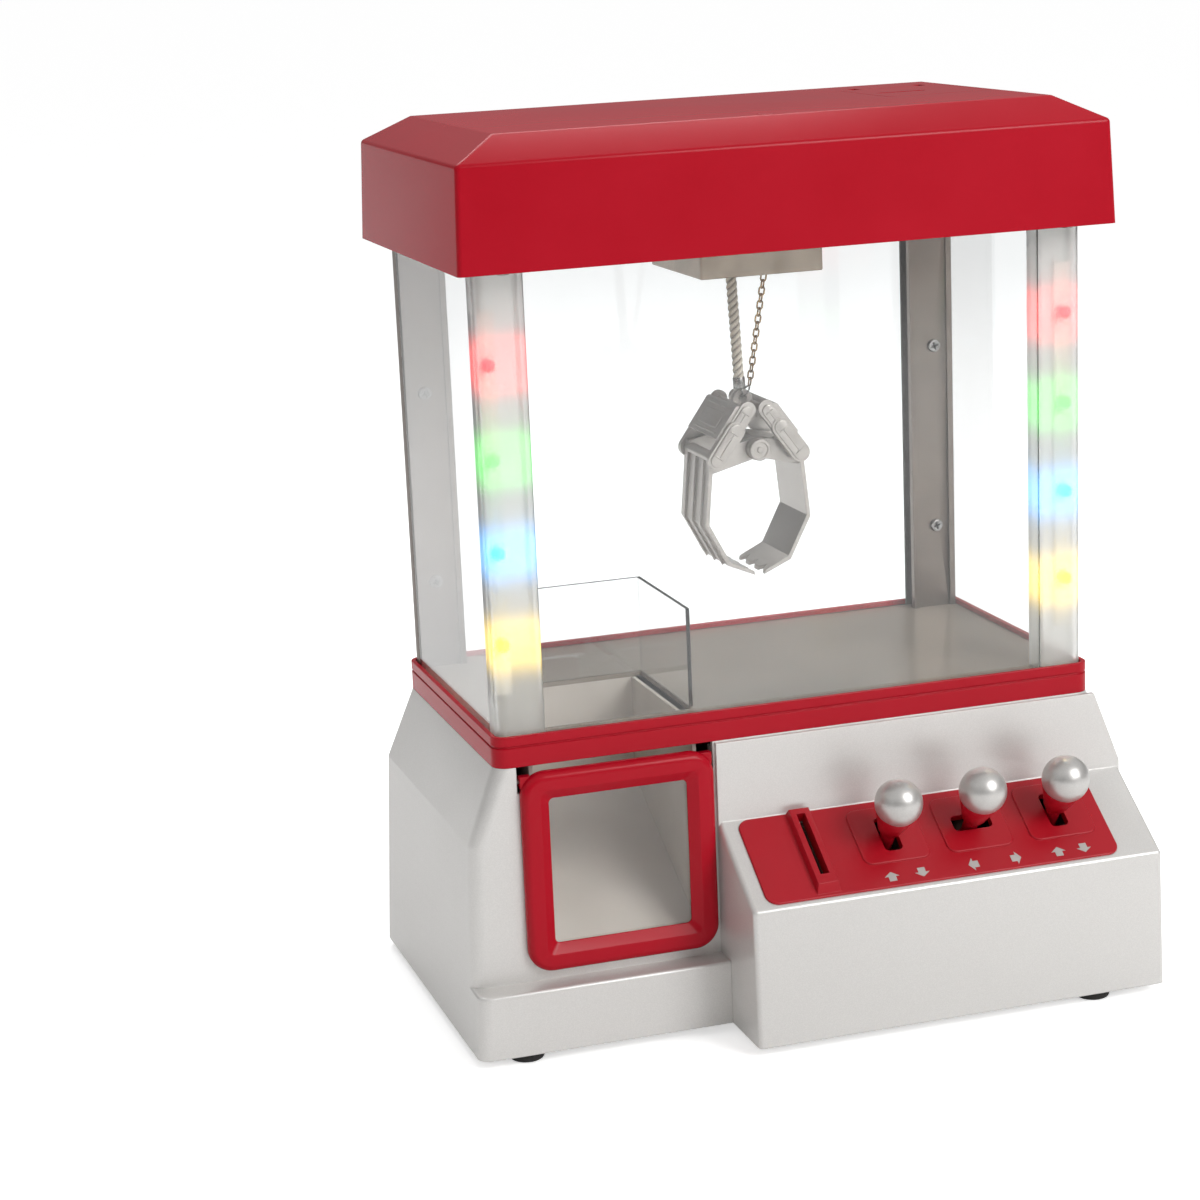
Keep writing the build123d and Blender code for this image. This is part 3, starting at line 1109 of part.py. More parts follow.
def housing_outline(inset):
    """The control housing seen from the side, as (y, z) points, drawn in by a wall."""
    half_turn = tan(radians((90 - PANEL_ANGLE) / 2))
    lower_front = FRONT - HOUSING_REACH + inset
    upper_front = PANEL_FOOT_Y + inset
    drop = inset * half_turn
    return ((lower_front, FOOT_HEIGHT + inset), (upper_front, HOUSING_FRONT_HEIGHT - drop),
            (PANEL_TOP_Y + inset, SLOPE_TOP_Z - drop), (PANEL_TOP_Y + inset, BASE_HEIGHT - 0.5 - inset),
            (FRONT + inset, BASE_HEIGHT - 0.5 - inset), (FRONT + inset, FOOT_HEIGHT + inset))


def control_housing():
    """The silver housing of the controls: a box with a sloped top and an upper panel."""
    outer = side_profile(housing_outline(0), HOUSING_LEFT, HOUSING_RIGHT)
    flare = front_profile(((HALF_SIDE_TOP + 0.3, SHOULDER_Z0), (HALF_SIDE_TOP + 20, SHOULDER_Z0),
                           (HALF_SIDE_TOP + 20, BASE_HEIGHT + 5), (HALF_W + 0.3, BASE_HEIGHT)), -200, 0)
    outer -= flare
    soft = outer.edges().filter_by(
        lambda e: e.center().Y < PANEL_TOP_Y - 1 and e.center().Z > FOOT_HEIGHT + 1)
    outer = fillet(soft, 2.0)
    inner = side_profile(housing_outline(HOUSING_WALL), HOUSING_LEFT + HOUSING_WALL,
                         HOUSING_RIGHT - HOUSING_WALL)
    inner -= Pos(-HOUSING_WALL, 0, -1) * flare
    housing = outer - inner - block(-300, 300, FRONT - 0.001, 100, 0, 500)
    half = (PANEL_RIGHT - PANEL_LEFT) / 2
    middle = (PANEL_RIGHT + PANEL_LEFT) / 2
    along = (PANEL_LOW + PANEL_HIGH) / 2
    length = PANEL_HIGH - PANEL_LOW
    seat = RectangleRounded(2 * half, length, PANEL_CORNER)
    recess = Pos(middle, along, -PANEL_SUNK) * extrude(seat, amount=10)
    inside = RectangleRounded(2 * half - 6, length - 6, PANEL_CORNER - 2)
    hole = Pos(middle, along, -10) * extrude(inside, amount=20)
    return housing - on_panel(recess) - on_panel(hole)


def stick_x(index):
    """Where each joystick stands across the panel."""
    return STICK_FIRST_X + index * STICK_PITCH


def tilts_sideways(index):
    """The middle stick moves left and right, the outer ones up and down the slope."""
    return index == 1


def control_panel():
    """The red panel: a rounded plate with a coin ridge, three raised pads and their slots."""
    width = PANEL_RIGHT - PANEL_LEFT
    middle = (PANEL_RIGHT + PANEL_LEFT) / 2
    along = (PANEL_LOW + PANEL_HIGH) / 2
    outline = RectangleRounded(width, PANEL_HIGH - PANEL_LOW, PANEL_CORNER)
    plate = Pos(middle, along, -PANEL_SUNK) * extrude(outline, amount=PANEL_THICKNESS)
    top_edges = plate.faces().sort_by(Axis.Z)[-1].edges()
    plate = fillet(top_edges, 0.5)
    face = PANEL_THICKNESS - PANEL_SUNK
    ridge_length = PANEL_HIGH - COIN_RIDGE_LOW - 0.4
    low = Pos(COIN_SLOT_X, COIN_RIDGE_LOW + ridge_length / 2, face - 0.1)
    base = low * Rectangle(COIN_RIDGE_WIDTH, ridge_length)
    crown = Pos(COIN_SLOT_X, COIN_RIDGE_LOW + ridge_length / 2 + 1.5, face + COIN_RIDGE_HEIGHT)
    top = crown * Rectangle(COIN_RIDGE_WIDTH - 1.6, ridge_length - 3.2)
    plate += loft([base, top], ruled=True)
    slot_y = COIN_SLOT_LOW + COIN_SLOT_LENGTH / 2
    plate -= Pos(COIN_SLOT_X, slot_y, 0) * Box(COIN_SLOT_WIDTH, COIN_SLOT_LENGTH, 30)
    for index in range(STICK_COUNT):
        pad = Pos(stick_x(index), STICK_ALONG, face - 0.1) * extrude(
            RectangleRounded(PAD_WIDTH, PAD_LENGTH, PAD_CORNER), amount=PAD_HEIGHT + 0.1)
        pad = fillet(pad.faces().sort_by(Axis.Z)[-1].edges(), 0.4)
        plate += pad
        slot = (STICK_SLOT_WIDTH, STICK_SLOT_LENGTH)
        if tilts_sideways(index):
            slot = (STICK_SLOT_LENGTH, STICK_SLOT_WIDTH)
        plate -= Pos(stick_x(index), STICK_ALONG, -10) * extrude(RectangleRounded(*slot, 2.0), amount=20)
    return on_panel(plate)


def at_stick(index, shape):
    """Move a joystick piece, drawn along Z with its tilt axis along X, to its place on the panel."""
    turn = 90 if tilts_sideways(index) else 0
    return on_panel(Pos(stick_x(index), STICK_ALONG, 0) * Rot(0, 0, turn) * shape)


def stick_lever(index):
    """The lever: a shaft with a flared red socket above and a pivot boss and tail below."""
    top = BALL_HEIGHT - SOCKET_DROP
    socket_radius = sqrt(BALL_RADIUS ** 2 - SOCKET_DROP ** 2)
    flare = Cone(STICK_NECK_RADIUS, socket_radius, top - STICK_NECK_HEIGHT)
    socket = Pos(0, 0, (top + STICK_NECK_HEIGHT) / 2) * flare
    socket -= Pos(0, 0, BALL_HEIGHT) * Sphere(BALL_RADIUS)
    shaft_top = BALL_HEIGHT - BALL_RADIUS + BALL_HOLE_DEPTH
    shaft = upright(STICK_RADIUS, -STICK_PIVOT_DEPTH - STICK_TAIL, shaft_top, 0, 0)
    boss = Pos(0, 0, -STICK_PIVOT_DEPTH) * Sphere(STICK_BOSS_RADIUS)
    neck = upright(STICK_NECK_RADIUS - 0.2, -STICK_PIVOT_DEPTH, STICK_NECK_HEIGHT + 0.2, 0, 0)
    pin_end = CHEEK_GAP / 2 + CHEEK_WALL
    pin = along_x(STICK_PIN_RADIUS, -pin_end, pin_end, 0, -STICK_PIVOT_DEPTH)
    return at_stick(index, socket + shaft + boss + neck + pin)


def stick_ball(index):
    """The silver ball, with a blind hole for the lever."""
    ball = Pos(0, 0, BALL_HEIGHT) * Sphere(BALL_RADIUS)
    ball -= upright(STICK_RADIUS, 0, BALL_HEIGHT - BALL_RADIUS + BALL_HOLE_DEPTH, 0, 0)
    return at_stick(index, ball)


def stick_brackets():
    """Under each stick, two cheeks that hang from the panel and carry the pivot pin."""
    cheeks = []
    top = -PANEL_SUNK
    for index in range(STICK_COUNT):
        for side in (-1, 1):
            x0, x1 = sorted((side * CHEEK_GAP / 2, side * (CHEEK_GAP / 2 + CHEEK_WALL)))
            cheek = block(x0, x1, -CHEEK_WIDTH / 2, CHEEK_WIDTH / 2, -STICK_PIVOT_DEPTH - 4, top)
            cheek -= along_x(STICK_PIN_RADIUS + PIN_CLEARANCE, x0 - 1, x1 + 1, 0, -STICK_PIVOT_DEPTH)
            cheeks.append(at_stick(index, cheek))
    return Compound(cheeks)


def under_panel(shape):
    """Trim a piece inside the housing to the underside of its sloped wall."""
    half = Pos(0, 0, 50 - HOUSING_WALL) * Box(600, 400, 100)
    return shape - on_panel(half)


def coin_chute():
    """The upright guide under the coin slot, with ears for the coin lever."""
    wall = GUIDE_WALL
    ear_half = LEVER_HUB_RADIUS + 0.4
    x0 = COIN_SLOT_X - COIN_SLOT_WIDTH / 2
    x1 = COIN_SLOT_X + COIN_SLOT_WIDTH / 2
    y0 = COIN_GUIDE_FRONT
    y1 = COIN_GUIDE_BACK
    guide = block(x0 - wall, x1 + wall, y0 - wall, y1 + wall, COIN_BOX_HEIGHT + 10, 110)
    guide -= block(x0, x1, y0, y1, 0, 120)
    middle = (y0 + y1) / 2
    guide -= block(x1 - 1, x1 + wall + 1, middle - 3.5, middle + 3.5, LEVER_Z - 7, LEVER_Z + 3)
    for side in (-1, 1):
        e0, e1 = sorted((middle + side * 4.4, middle + side * 6.6))
        ear = block(x1 + wall - 0.2, LEVER_X + ear_half, e0, e1, LEVER_Z - ear_half, LEVER_Z + ear_half)
        guide += ear - along_y(PIVOT_RADIUS + PIN_CLEARANCE, e0 - 1, e1 + 1, LEVER_X, LEVER_Z)
    return under_panel(guide)


def coin_lever():
    """The lever that a falling coin pushes down, pivoted beside the guide."""
    middle = (COIN_GUIDE_FRONT + COIN_GUIDE_BACK) / 2
    arm = block(COIN_SLOT_X - 0.6, LEVER_X, middle - 2, middle + 2, LEVER_Z - 0.9, LEVER_Z + 0.9)
    hub = along_y(LEVER_HUB_RADIUS, middle - 4, middle + 4, LEVER_X, LEVER_Z)
    axle = along_y(PIVOT_RADIUS, middle - 6.6, middle + 6.6, LEVER_X, LEVER_Z)
    return arm + hub + axle


def coin_box():
    """The tray under the coin guide, on the floor of the control housing."""
    x0 = HOUSING_LEFT + HOUSING_WALL + 2
    x1 = COIN_SLOT_X + 26
    y0 = FRONT - HOUSING_REACH + HOUSING_WALL + 2.6
    y1 = FRONT - 2
    z0 = FOOT_HEIGHT + HOUSING_WALL
    tray = block(x0, x1, y0, y1, z0, z0 + COIN_BOX_HEIGHT)
    return tray - block(x0 + TRAY_WALL, x1 - TRAY_WALL, y0 + TRAY_WALL, y1 - TRAY_WALL, z0 + TRAY_WALL, 100)


# ---------------------------------------------------------------- prize door

def prize_door():
    """The red door frame: rounded outside, chamfered towards its window, with two lugs at the top."""
    width = DOOR_RIGHT - DOOR_LEFT
    height = DOOR_TOP - DOOR_BOTTOM
    face_y = FRONT - GAP - DOOR_THICKNESS
    plane = Plane(origin=((DOOR_LEFT + DOOR_RIGHT) / 2, FRONT - GAP, (DOOR_BOTTOM + DOOR_TOP) / 2),
                  x_dir=(1, 0, 0), z_dir=(0, -1, 0))
    frame = extrude(RectangleRounded(width, height, DOOR_CORNER), amount=DOOR_THICKNESS)
    frame = fillet(frame.faces().sort_by(Axis.Z)[-1].edges(), 3.2)
    window_w = width - 2 * DOOR_FRAME
    window_h = height - 2 * DOOR_FRAME
    frame -= extrude(RectangleRounded(window_w, window_h, 2.0), amount=DOOR_THICKNESS + 1)
    mouth = RectangleRounded(window_w + 2 * DOOR_CHAMFER, window_h + 2 * DOOR_CHAMFER, 3.0)
    wide = Pos(0, 0, DOOR_THICKNESS + 0.001) * mouth
    narrow = Pos(0, 0, DOOR_THICKNESS - 2.8) * RectangleRounded(window_w, window_h, 2.0)
    frame -= loft([narrow, wide], ruled=True)
    seat = RectangleRounded(window_w + 2 * DOOR_LIP, window_h + 2 * DOOR_LIP, 2.0)
    rebate = extrude(seat, amount=DOOR_PANE)
    frame -= rebate
    notch = Pos(0, -height / 2, 0) * Cylinder(3.0, 2.4)
    frame -= notch
    door = plane.location * frame
    for x0 in (DOOR_LEFT + GAP, DOOR_RIGHT - GAP - DOOR_LUG_WIDTH):
        lug = block(x0, x0 + DOOR_LUG_WIDTH, face_y + 3.4, DOOR_PIVOT_Y,
                    DOOR_PIVOT_Z - 2.4, DOOR_PIVOT_Z + 2.4)
        lug += along_x(2.4, x0, x0 + DOOR_LUG_WIDTH, DOOR_PIVOT_Y, DOOR_PIVOT_Z)
        door += lug
    return door - along_x(DOOR_PIN_RADIUS, DOOR_LEFT - 5, DOOR_RIGHT + 5, DOOR_PIVOT_Y, DOOR_PIVOT_Z)


def prize_door_window():
    """The clear pane in the back of the door."""
    width = DOOR_RIGHT - DOOR_LEFT - 2 * DOOR_FRAME + 2 * DOOR_LIP
    height = DOOR_TOP - DOOR_BOTTOM - 2 * DOOR_FRAME + 2 * DOOR_LIP
    plane = Plane(origin=((DOOR_LEFT + DOOR_RIGHT) / 2, FRONT - GAP, (DOOR_BOTTOM + DOOR_TOP) / 2),
                  x_dir=(1, 0, 0), z_dir=(0, -1, 0))
    return plane.location * extrude(RectangleRounded(width, height, 2.0), amount=DOOR_PANE)


def prize_door_pins():
    """The door's two hinge pins, fixed in its lugs."""
    reach = GAP + DOOR_BEARING
    end_x = DOOR_LEFT + GAP + DOOR_LUG_WIDTH
    left = along_x(DOOR_PIN_RADIUS, DOOR_LEFT - reach, end_x, DOOR_PIVOT_Y, DOOR_PIVOT_Z)
    right = along_x(DOOR_PIN_RADIUS, DOOR_RIGHT - GAP - DOOR_LUG_WIDTH, DOOR_RIGHT + reach,
                    DOOR_PIVOT_Y, DOOR_PIVOT_Z)
    return Compound([left, right])


# ---------------------------------------------------------------- screws

def screw():
    """A pan-head screw pointing along +Z, its head under z = 0, with a cross drive."""
    head = Pos(0, 0, -SCREW_HEAD / 2) * Cylinder(SCREW_HEAD_RADIUS, SCREW_HEAD)
    head = fillet(head.faces().sort_by(Axis.Z)[0].edges(), 0.7)
    drive = Box(2 * SCREW_DRIVE, 0.7, 1.6) + Box(0.7, 2 * SCREW_DRIVE, 1.6)
    head -= Pos(0, 0, -SCREW_HEAD) * drive
    return head + Pos(0, 0, SCREW_LENGTH / 2) * Cylinder(SCREW_RADIUS, SCREW_LENGTH)


def screws():
    """The identical screws of the bottom plate, the ceiling plate and the two rear posts."""
    one = screw()
    places = []
    for x, y in base_screw_places():
        places.append(Pos(x, y, FOOT_HEIGHT + SCREW_HEAD) * one)
    for x, y in roof_screw_places():
        places.append(Pos(x, y, CEILING) * one)
    face = INNER_Y - POST_DEPTH
    for x, z in post_screw_places():
        for side in (-1, 1):
            places.append(Pos(side * x, face, z) * Rot(-90, 0, 0) * one)
    return Compound(places)


# ---------------------------------------------------------------- all nodes

def all_nodes():
    """Every piece by its node name."""
    nodes = {
        "base_body": base_body(),
        "bottom_plate": bottom_plate(),
        "battery_box": battery_box(),
        "battery_cover": battery_cover(),
        "batteries": batteries(),
        "feet": feet(),
        "main_board": main_board(),
        "speaker": speaker(),
        "power_switch": power_switch(),
        "rim_band": rim_band(),
        "prize_floor": prize_floor(),
        "chute_guard": chute_guard(),
        "prize_ramp": prize_ramp(),
        "roof_cap": roof_cap(),
        "ceiling_plate": ceiling_plate(),
        "hatch_lid": hatch_lid(),
        "hatch_pin": hatch_pin(),
        "screws": screws(),
        "control_housing": control_housing(),
        "control_panel": control_panel(),
        "joystick_brackets": stick_brackets(),
        "coin_chute": coin_chute(),
        "coin_lever": coin_lever(),
        "coin_box": coin_box(),
        "prize_door": prize_door(),
        "prize_door_window": prize_door_window(),
        "prize_door_pins": prize_door_pins(),
        "gantry_motor": gantry_motor(),
        "gantry_pinion": gantry_pinion(),
        "bridge_frame": bridge_frame(),
        "bridge_rods": bridge_rods(),
        "trolley_housing": trolley_housing(),
        "trolley_motors": trolley_motors(),
        "trolley_pinion": trolley_pinion(),
        "hoist_drum": hoist_drum(),
        "rope": rope(),
        "chain": chain(),
        "claw_head": claw_head(),
        "claw_hub": claw_hub(),
        "hub_pin": hub_pin(),
    }
    nodes.update(windows())
    front_column = column()
    rear_post = post()
    lamp_board = led_board()
    lamps = led_row()
    nodes["column_right"] = front_column
    nodes["column_left"] = mirrored(front_column)
    nodes["post_right"] = rear_post
    nodes["post_left"] = mirrored(rear_post)
    nodes["led_boards"] = Compound([lamp_board, mirrored(lamp_board)])
    nodes["leds"] = Compound(lamps + [mirrored(lamp) for lamp in lamps])
    link = link_right()
    nodes["link_right"] = at_claw(link)
    nodes["link_left"] = at_claw(mirrored(link))
    outer_arm = CLAW_HALF_DEPTH - JAW_ARM
    nodes["jaw_left"] = at_claw(mirrored(jaw_right(outer_arm)))
    nodes["jaw_right"] = at_claw(jaw_right(outer_arm - JAW_ARM - GAP))
    for index in range(STICK_COUNT):
        nodes[f"joystick_{index + 1}_lever"] = stick_lever(index)
        nodes[f"joystick_{index + 1}_ball"] = stick_ball(index)
    return nodes


os.makedirs("parts", exist_ok=True)
for name, shape in all_nodes().items():
    export_step(Pos(0, FOOTPRINT_SHIFT, 0) * shape, f"parts/{name}.step")
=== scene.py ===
"""A table-top claw crane toy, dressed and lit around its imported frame."""

import json
import logging
import math
from dataclasses import dataclass, field
from enum import Enum

import bmesh
import bpy
from mathutils import Matrix, Vector

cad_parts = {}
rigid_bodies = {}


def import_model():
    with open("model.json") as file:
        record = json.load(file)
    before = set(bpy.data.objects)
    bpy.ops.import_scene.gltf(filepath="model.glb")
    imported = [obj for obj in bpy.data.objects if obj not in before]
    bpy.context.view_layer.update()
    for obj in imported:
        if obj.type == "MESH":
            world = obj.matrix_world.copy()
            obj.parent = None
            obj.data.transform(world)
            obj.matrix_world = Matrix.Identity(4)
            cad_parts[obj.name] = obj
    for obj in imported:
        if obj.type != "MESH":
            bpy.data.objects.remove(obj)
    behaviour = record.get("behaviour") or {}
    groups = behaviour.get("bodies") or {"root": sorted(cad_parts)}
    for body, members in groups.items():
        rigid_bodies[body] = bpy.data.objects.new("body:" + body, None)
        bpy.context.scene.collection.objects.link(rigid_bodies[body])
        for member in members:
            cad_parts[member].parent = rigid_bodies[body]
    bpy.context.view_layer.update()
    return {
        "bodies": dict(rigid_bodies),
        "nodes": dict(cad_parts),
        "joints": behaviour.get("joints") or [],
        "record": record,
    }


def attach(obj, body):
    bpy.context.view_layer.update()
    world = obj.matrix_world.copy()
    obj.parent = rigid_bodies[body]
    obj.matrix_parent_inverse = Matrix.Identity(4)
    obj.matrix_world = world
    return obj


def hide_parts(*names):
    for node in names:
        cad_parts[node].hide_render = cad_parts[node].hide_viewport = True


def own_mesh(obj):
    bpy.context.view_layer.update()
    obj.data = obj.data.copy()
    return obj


log = logging.getLogger("claw_crane")

Pair = tuple[float, float]
Triple = tuple[float, float, float]
Outline = tuple[Pair, ...]
Shape = bmesh.types.BMesh
Tree = bpy.types.NodeTree
Socket = bpy.types.NodeSocket

MM = 0.001
ABS_IOR = 1.53
STYRENE_IOR = 1.49
EPOXY_IOR = 1.54
SKY_LOW = 0.2  # the room is dimmest below this height of a ray's aim
SKY_HIGH = 0.6  # and brightest above this one
# CROWN masks the rope's painted shade: its colour is darkened down in the grooves between the strands
CROWN = "crown"  # the rope's own attribute: 0 down in a groove, 1 on top of a strand
CABINET_BACK = 15.55  # the cabinet's middle stands this far behind the origin, in mm


def mm(x: float, y: float, z: float) -> Vector:
    """Return a point of the cabinet, given in mm from its middle line and the table, in metres."""
    return Vector((x * MM, (y + CABINET_BACK) * MM, z * MM))


def linear(code: str) -> tuple[float, float, float, float]:
    """Turn an sRGB hex colour into linear light.

    Args:
        code: Six hex digits, with or without a leading hash.

    Returns:
        Red, green, blue and a full alpha.
    """
    digits = code.lstrip("#")
    parts = [int(digits[i : i + 2], 16) / 255 for i in (0, 2, 4)]
    light = [p / 12.92 if p <= 0.04045 else ((p + 0.055) / 1.055) ** 2.4 for p in parts]
    return (light[0], light[1], light[2], 1.0)


def add(tree: Tree, kind: str, inputs: dict | None = None, **settings: object) -> bpy.types.Node:
    """Add one shader node.

    Args:
        tree: The material's node tree.
        kind: The node's type name.
        inputs: Values for its sockets, or the output sockets that feed them.
        settings: Properties of the node.

    Returns:
        The new node.
    """
    made = tree.nodes.new(kind)
    for key, value in settings.items():
        setattr(made, key, value)
    for key, value in (inputs or {}).items():
        if isinstance(value, Socket):
            tree.links.new(value, made.inputs[key])
        else:
            made.inputs[key].default_value = value
    return made


def per_mm(size: float) -> float:
    """Return the texture scale whose features are about this many mm across."""
    return 1.0 / (size * MM)


def blank(name: str) -> tuple[bpy.types.Material, Tree, bpy.types.Node, bpy.types.Node]:
    """Start a material.

    Args:
        name: The material's name.

    Returns:
        The material, its tree, its shader and its output node.
    """
    material = bpy.data.materials.new(name)
    material.use_nodes = True
    tree = material.node_tree
    tree.nodes.clear()
    shader = add(tree, "ShaderNodeBsdfPrincipled")
    output = add(tree, "ShaderNodeOutputMaterial", {"Surface": shader.outputs["BSDF"]})
    return material, tree, shader, output


def place_of(tree: Tree, scale: Triple = (1, 1, 1)) -> Socket:
    """Return the point on the object, in metres, stretched by scale."""
    point = add(tree, "ShaderNodeTexCoord").outputs["Object"]
    return add(tree, "ShaderNodeMapping", {"Vector": point, "Scale": scale}).outputs["Vector"]


def noise(tree: Tree, place: Socket, size: float, detail: float, rough: float = 0.5) -> Socket:
    """Return a cloudy pattern whose features are about this many mm across."""
    inputs = {"Vector": place, "Scale": per_mm(size), "Detail": detail, "Roughness": rough}
    return add(tree, "ShaderNodeTexNoise", inputs).outputs["Fac"]


def ramp(
    tree: Tree,
    value: Socket,
    taken: Pair = (0, 1),
    given: Pair = (0, 1),
    **settings: object,
) -> Socket:
    """Return a value carried from the range taken to the range given, and held inside it."""
    ends = {"From Min": taken[0], "From Max": taken[1], "To Min": given[0], "To Max": given[1]}
    return add(tree, "ShaderNodeMapRange", {"Value": value, **ends}, **settings).outputs["Result"]


def blend(tree: Tree, share: object, first: object, second: object, **settings: object) -> Socket:
    """Return the first colour turned into the second by a share, or as the settings say."""
    inputs = {0: share, 6: first, 7: second}
    return add(tree, "ShaderNodeMix", inputs, data_type="RGBA", **settings).outputs[2]


def about(middle: float, spread: float) -> Pair:
    """Return the range that reaches as far below a middle as above it."""
    return (middle - spread, middle + spread)


def cover(
    tree: Tree,
    shader: bpy.types.Node,
    tint: Socket,
    rough: Socket,
    relief: dict,
    edge: float,
) -> None:
    """Give a shader its colour, its roughness and its relief.

    Args:
        tree: The material's node tree.
        shader: Its shader.
        tint: The colour.
        rough: The roughness.
        relief: The bump's strength, its depth in metres and its height.
        edge: Radius in mm over which the normals turn softly at a sharp edge.
    """
    soft = add(tree, "ShaderNodeBevel", {"Radius": edge * MM}, samples=4).outputs["Normal"]
    bump = add(tree, "ShaderNodeBump", {**relief, "Normal": soft})
    tree.links.new(tint, shader.inputs["Base Color"])
    tree.links.new(rough, shader.inputs["Roughness"])
    tree.links.new(bump.outputs["Normal"], shader.inputs["Normal"])


def let_through(tree: Tree, shader: bpy.types.Node, output: bpy.types.Node, tint: str) -> None:
    """Let the light of the lamps straight through a clear material, tinted."""
    rays = add(tree, "ShaderNodeLightPath")
    through = add(tree, "ShaderNodeBsdfTransparent", {"Color": linear(tint)})
    mix = add(
        tree,
        "ShaderNodeMixShader",
        {0: rays.outputs["Is Shadow Ray"], 1: shader.outputs["BSDF"], 2: through.outputs["BSDF"]},
    )
    tree.links.new(mix.outputs["Shader"], output.inputs["Surface"])


@dataclass(frozen=True)
class MouldedPlastic:
    """ABS from a mould: an even colour, a faint swirl from the flow and a fine skin on the gloss.

    Args:
        name: The finish's name.
        colour: Its colour, sRGB hex.
        swirl: The colour it drifts to, sRGB hex.
        roughness: Its middle roughness.
        grain: Size of the skin's grain in mm.
        depth: Depth of the grain in mm.
        edge: Radius that its sharp edges catch the light with, in mm.
        shine: How strongly its surface reflects, 0.5 for bare plastic.
    """

    name: str
    colour: str
    swirl: str
    roughness: float = 0.35
    grain: float = 1.2
    depth: float = 0.02
    edge: float = 0.35
    shine: float = 0.5

    def make(self) -> bpy.types.Material:
        """Return the material."""
        material, tree, shader, _ = blank(self.name)
        place = place_of(tree)
        flow = noise(tree, place, 55, 3.0, 0.55)
        skin = noise(tree, place, self.grain, 2.0)
        drift = ramp(tree, flow, (0.35, 0.65))
        tint = blend(tree, drift, linear(self.colour), linear(self.swirl))
        rough = ramp(tree, flow, given=about(self.roughness, 0.04))
        relief = {"Strength": 0.2, "Distance": self.depth * MM, "Height": skin}
        cover(tree, shader, tint, rough, relief, self.edge)
        shader.inputs["IOR"].default_value = ABS_IOR
        shader.inputs["Specular IOR Level"].default_value = self.shine
        return material


@dataclass(frozen=True)
class FleckedPlastic:
    """ABS moulded with aluminium flake: pale, with tiny bright specks that turn with the light.

    Args:
        name: The finish's name.
        colour: Its body colour, sRGB hex.
        fleck: The flakes' colour, sRGB hex.
        metallic: How metallic the body is.
        roughness: Its middle roughness.
        fleck_size: Flake spacing in mm, drawn coarser than the real 0.1 mm so that it shows.
        edge: Radius that its sharp edges catch the light with, in mm.
    """

    name: str
    colour: str
    fleck: str
    metallic: float = 0.45
    roughness: float = 0.4
    fleck_size: float = 0.55
    edge: float = 0.4

    def make(self) -> bpy.types.Material:
        """Return the material."""
        material, tree, shader, _ = blank(self.name)
        place = place_of(tree)
        cells = add(tree, "ShaderNodeTexVoronoi", {"Vector": place, "Scale": per_mm(self.fleck_size)})
        flow = noise(tree, place, 40, 3.0)
        spark = add(tree, "ShaderNodeSeparateColor", {"Color": cells.outputs["Color"]})
        share = ramp(tree, spark.outputs["Red"], (0.25, 1.0), (0.0, 0.8))
        tint = blend(tree, share, linear(self.colour), linear(self.fleck))
        rough = ramp(tree, flow, given=(self.roughness - 0.05, self.roughness + 0.07))
        relief = {"Strength": 0.25, "Distance": 0.02 * MM, "Height": spark.outputs["Green"]}
        cover(tree, shader, tint, rough, relief, self.edge)
        shader.inputs["Metallic"].default_value = self.metallic
        return material


class Grain(Enum):
    """The direction that a metal was brushed in, as a stretch of the pattern."""

    UPRIGHT = (1.0, 1.0, 0.02)
    ACROSS = (0.02, 1.0, 1.0)
    EVEN = (1.0, 1.0, 1.0)


@dataclass(frozen=True)
class WorkedMetal:
    """Metal, or a metal-look skin, brushed or tumbled: fine lines that spread the highlight.

    Args:
        name: The finish's name.
        colour: Its colour, sRGB hex.
        worn: The colour in its marks, sRGB hex.
        grain: The way it was brushed.
        roughness: Its middle roughness.
        line: Spacing of the lines in mm, drawn coarser than the real 0.05 mm so that they show.
        metallic: How metallic it is.
        edge: Radius that its sharp edges catch the light with, in mm.
    """

    name: str
    colour: str
    worn: str
    grain: Grain = Grain.EVEN
    roughness: float = 0.32
    line: float = 0.4
    metallic: float = 1.0
    edge: float = 0.25

    def make(self) -> bpy.types.Material:
        """Return the material."""
        material, tree, shader, _ = blank(self.name)
        place = place_of(tree, self.grain.value)
        lines = noise(tree, place, self.line, 3.0)
        marks = noise(tree, place_of(tree), 12, 4.0)
        share = ramp(tree, marks, (0.4, 0.75))
        tint = blend(tree, share, linear(self.colour), linear(self.worn))
        rough = ramp(tree, lines, given=about(self.roughness, 0.09))
        relief = {"Strength": 0.3, "Distance": 0.02 * MM, "Height": lines}
        cover(tree, shader, tint, rough, relief, self.edge)
        shader.inputs["Metallic"].default_value = self.metallic
        return material


@dataclass(frozen=True)
class ClearStyrene:
    """Clear polystyrene sheet: see-through, glossy, a little grey where it is looked at edge on.

    Args:
        name: The finish's name.
        tint: What it lets through, sRGB hex.
        roughness: Its surface roughness.
    """

    name: str
    tint: str
    roughness: float = 0.004

    def make(self) -> bpy.types.Material:
        """Return the material, which lets lamp light straight through."""
        material, tree, shader, output = blank(self.name)
        shader.inputs["Base Color"].default_value = linear(self.tint)
        shader.inputs["Transmission Weight"].default_value = 1.0
        shader.inputs["IOR"].default_value = STYRENE_IOR
        haze = noise(tree, place_of(tree), 30, 3.0)
        rough = ramp(tree, haze, given=(self.roughness, self.roughness + 0.005))
        tree.links.new(rough, shader.inputs["Roughness"])
        let_through(tree, shader, output, self.tint)
        return material


@dataclass(frozen=True)
class Lamp:
    """One coloured lamp of the front columns.

    Args:
        height: Its height over the table in mm.
        colour: Its light, sRGB hex.
    """

    height: float
    colour: str


LAMPS = (Lamp(164.6, "FFD400"), Lamp(200.6, "00A8FF"), Lamp(236.6, "30D030"), Lamp(272.6, "FF0814"))


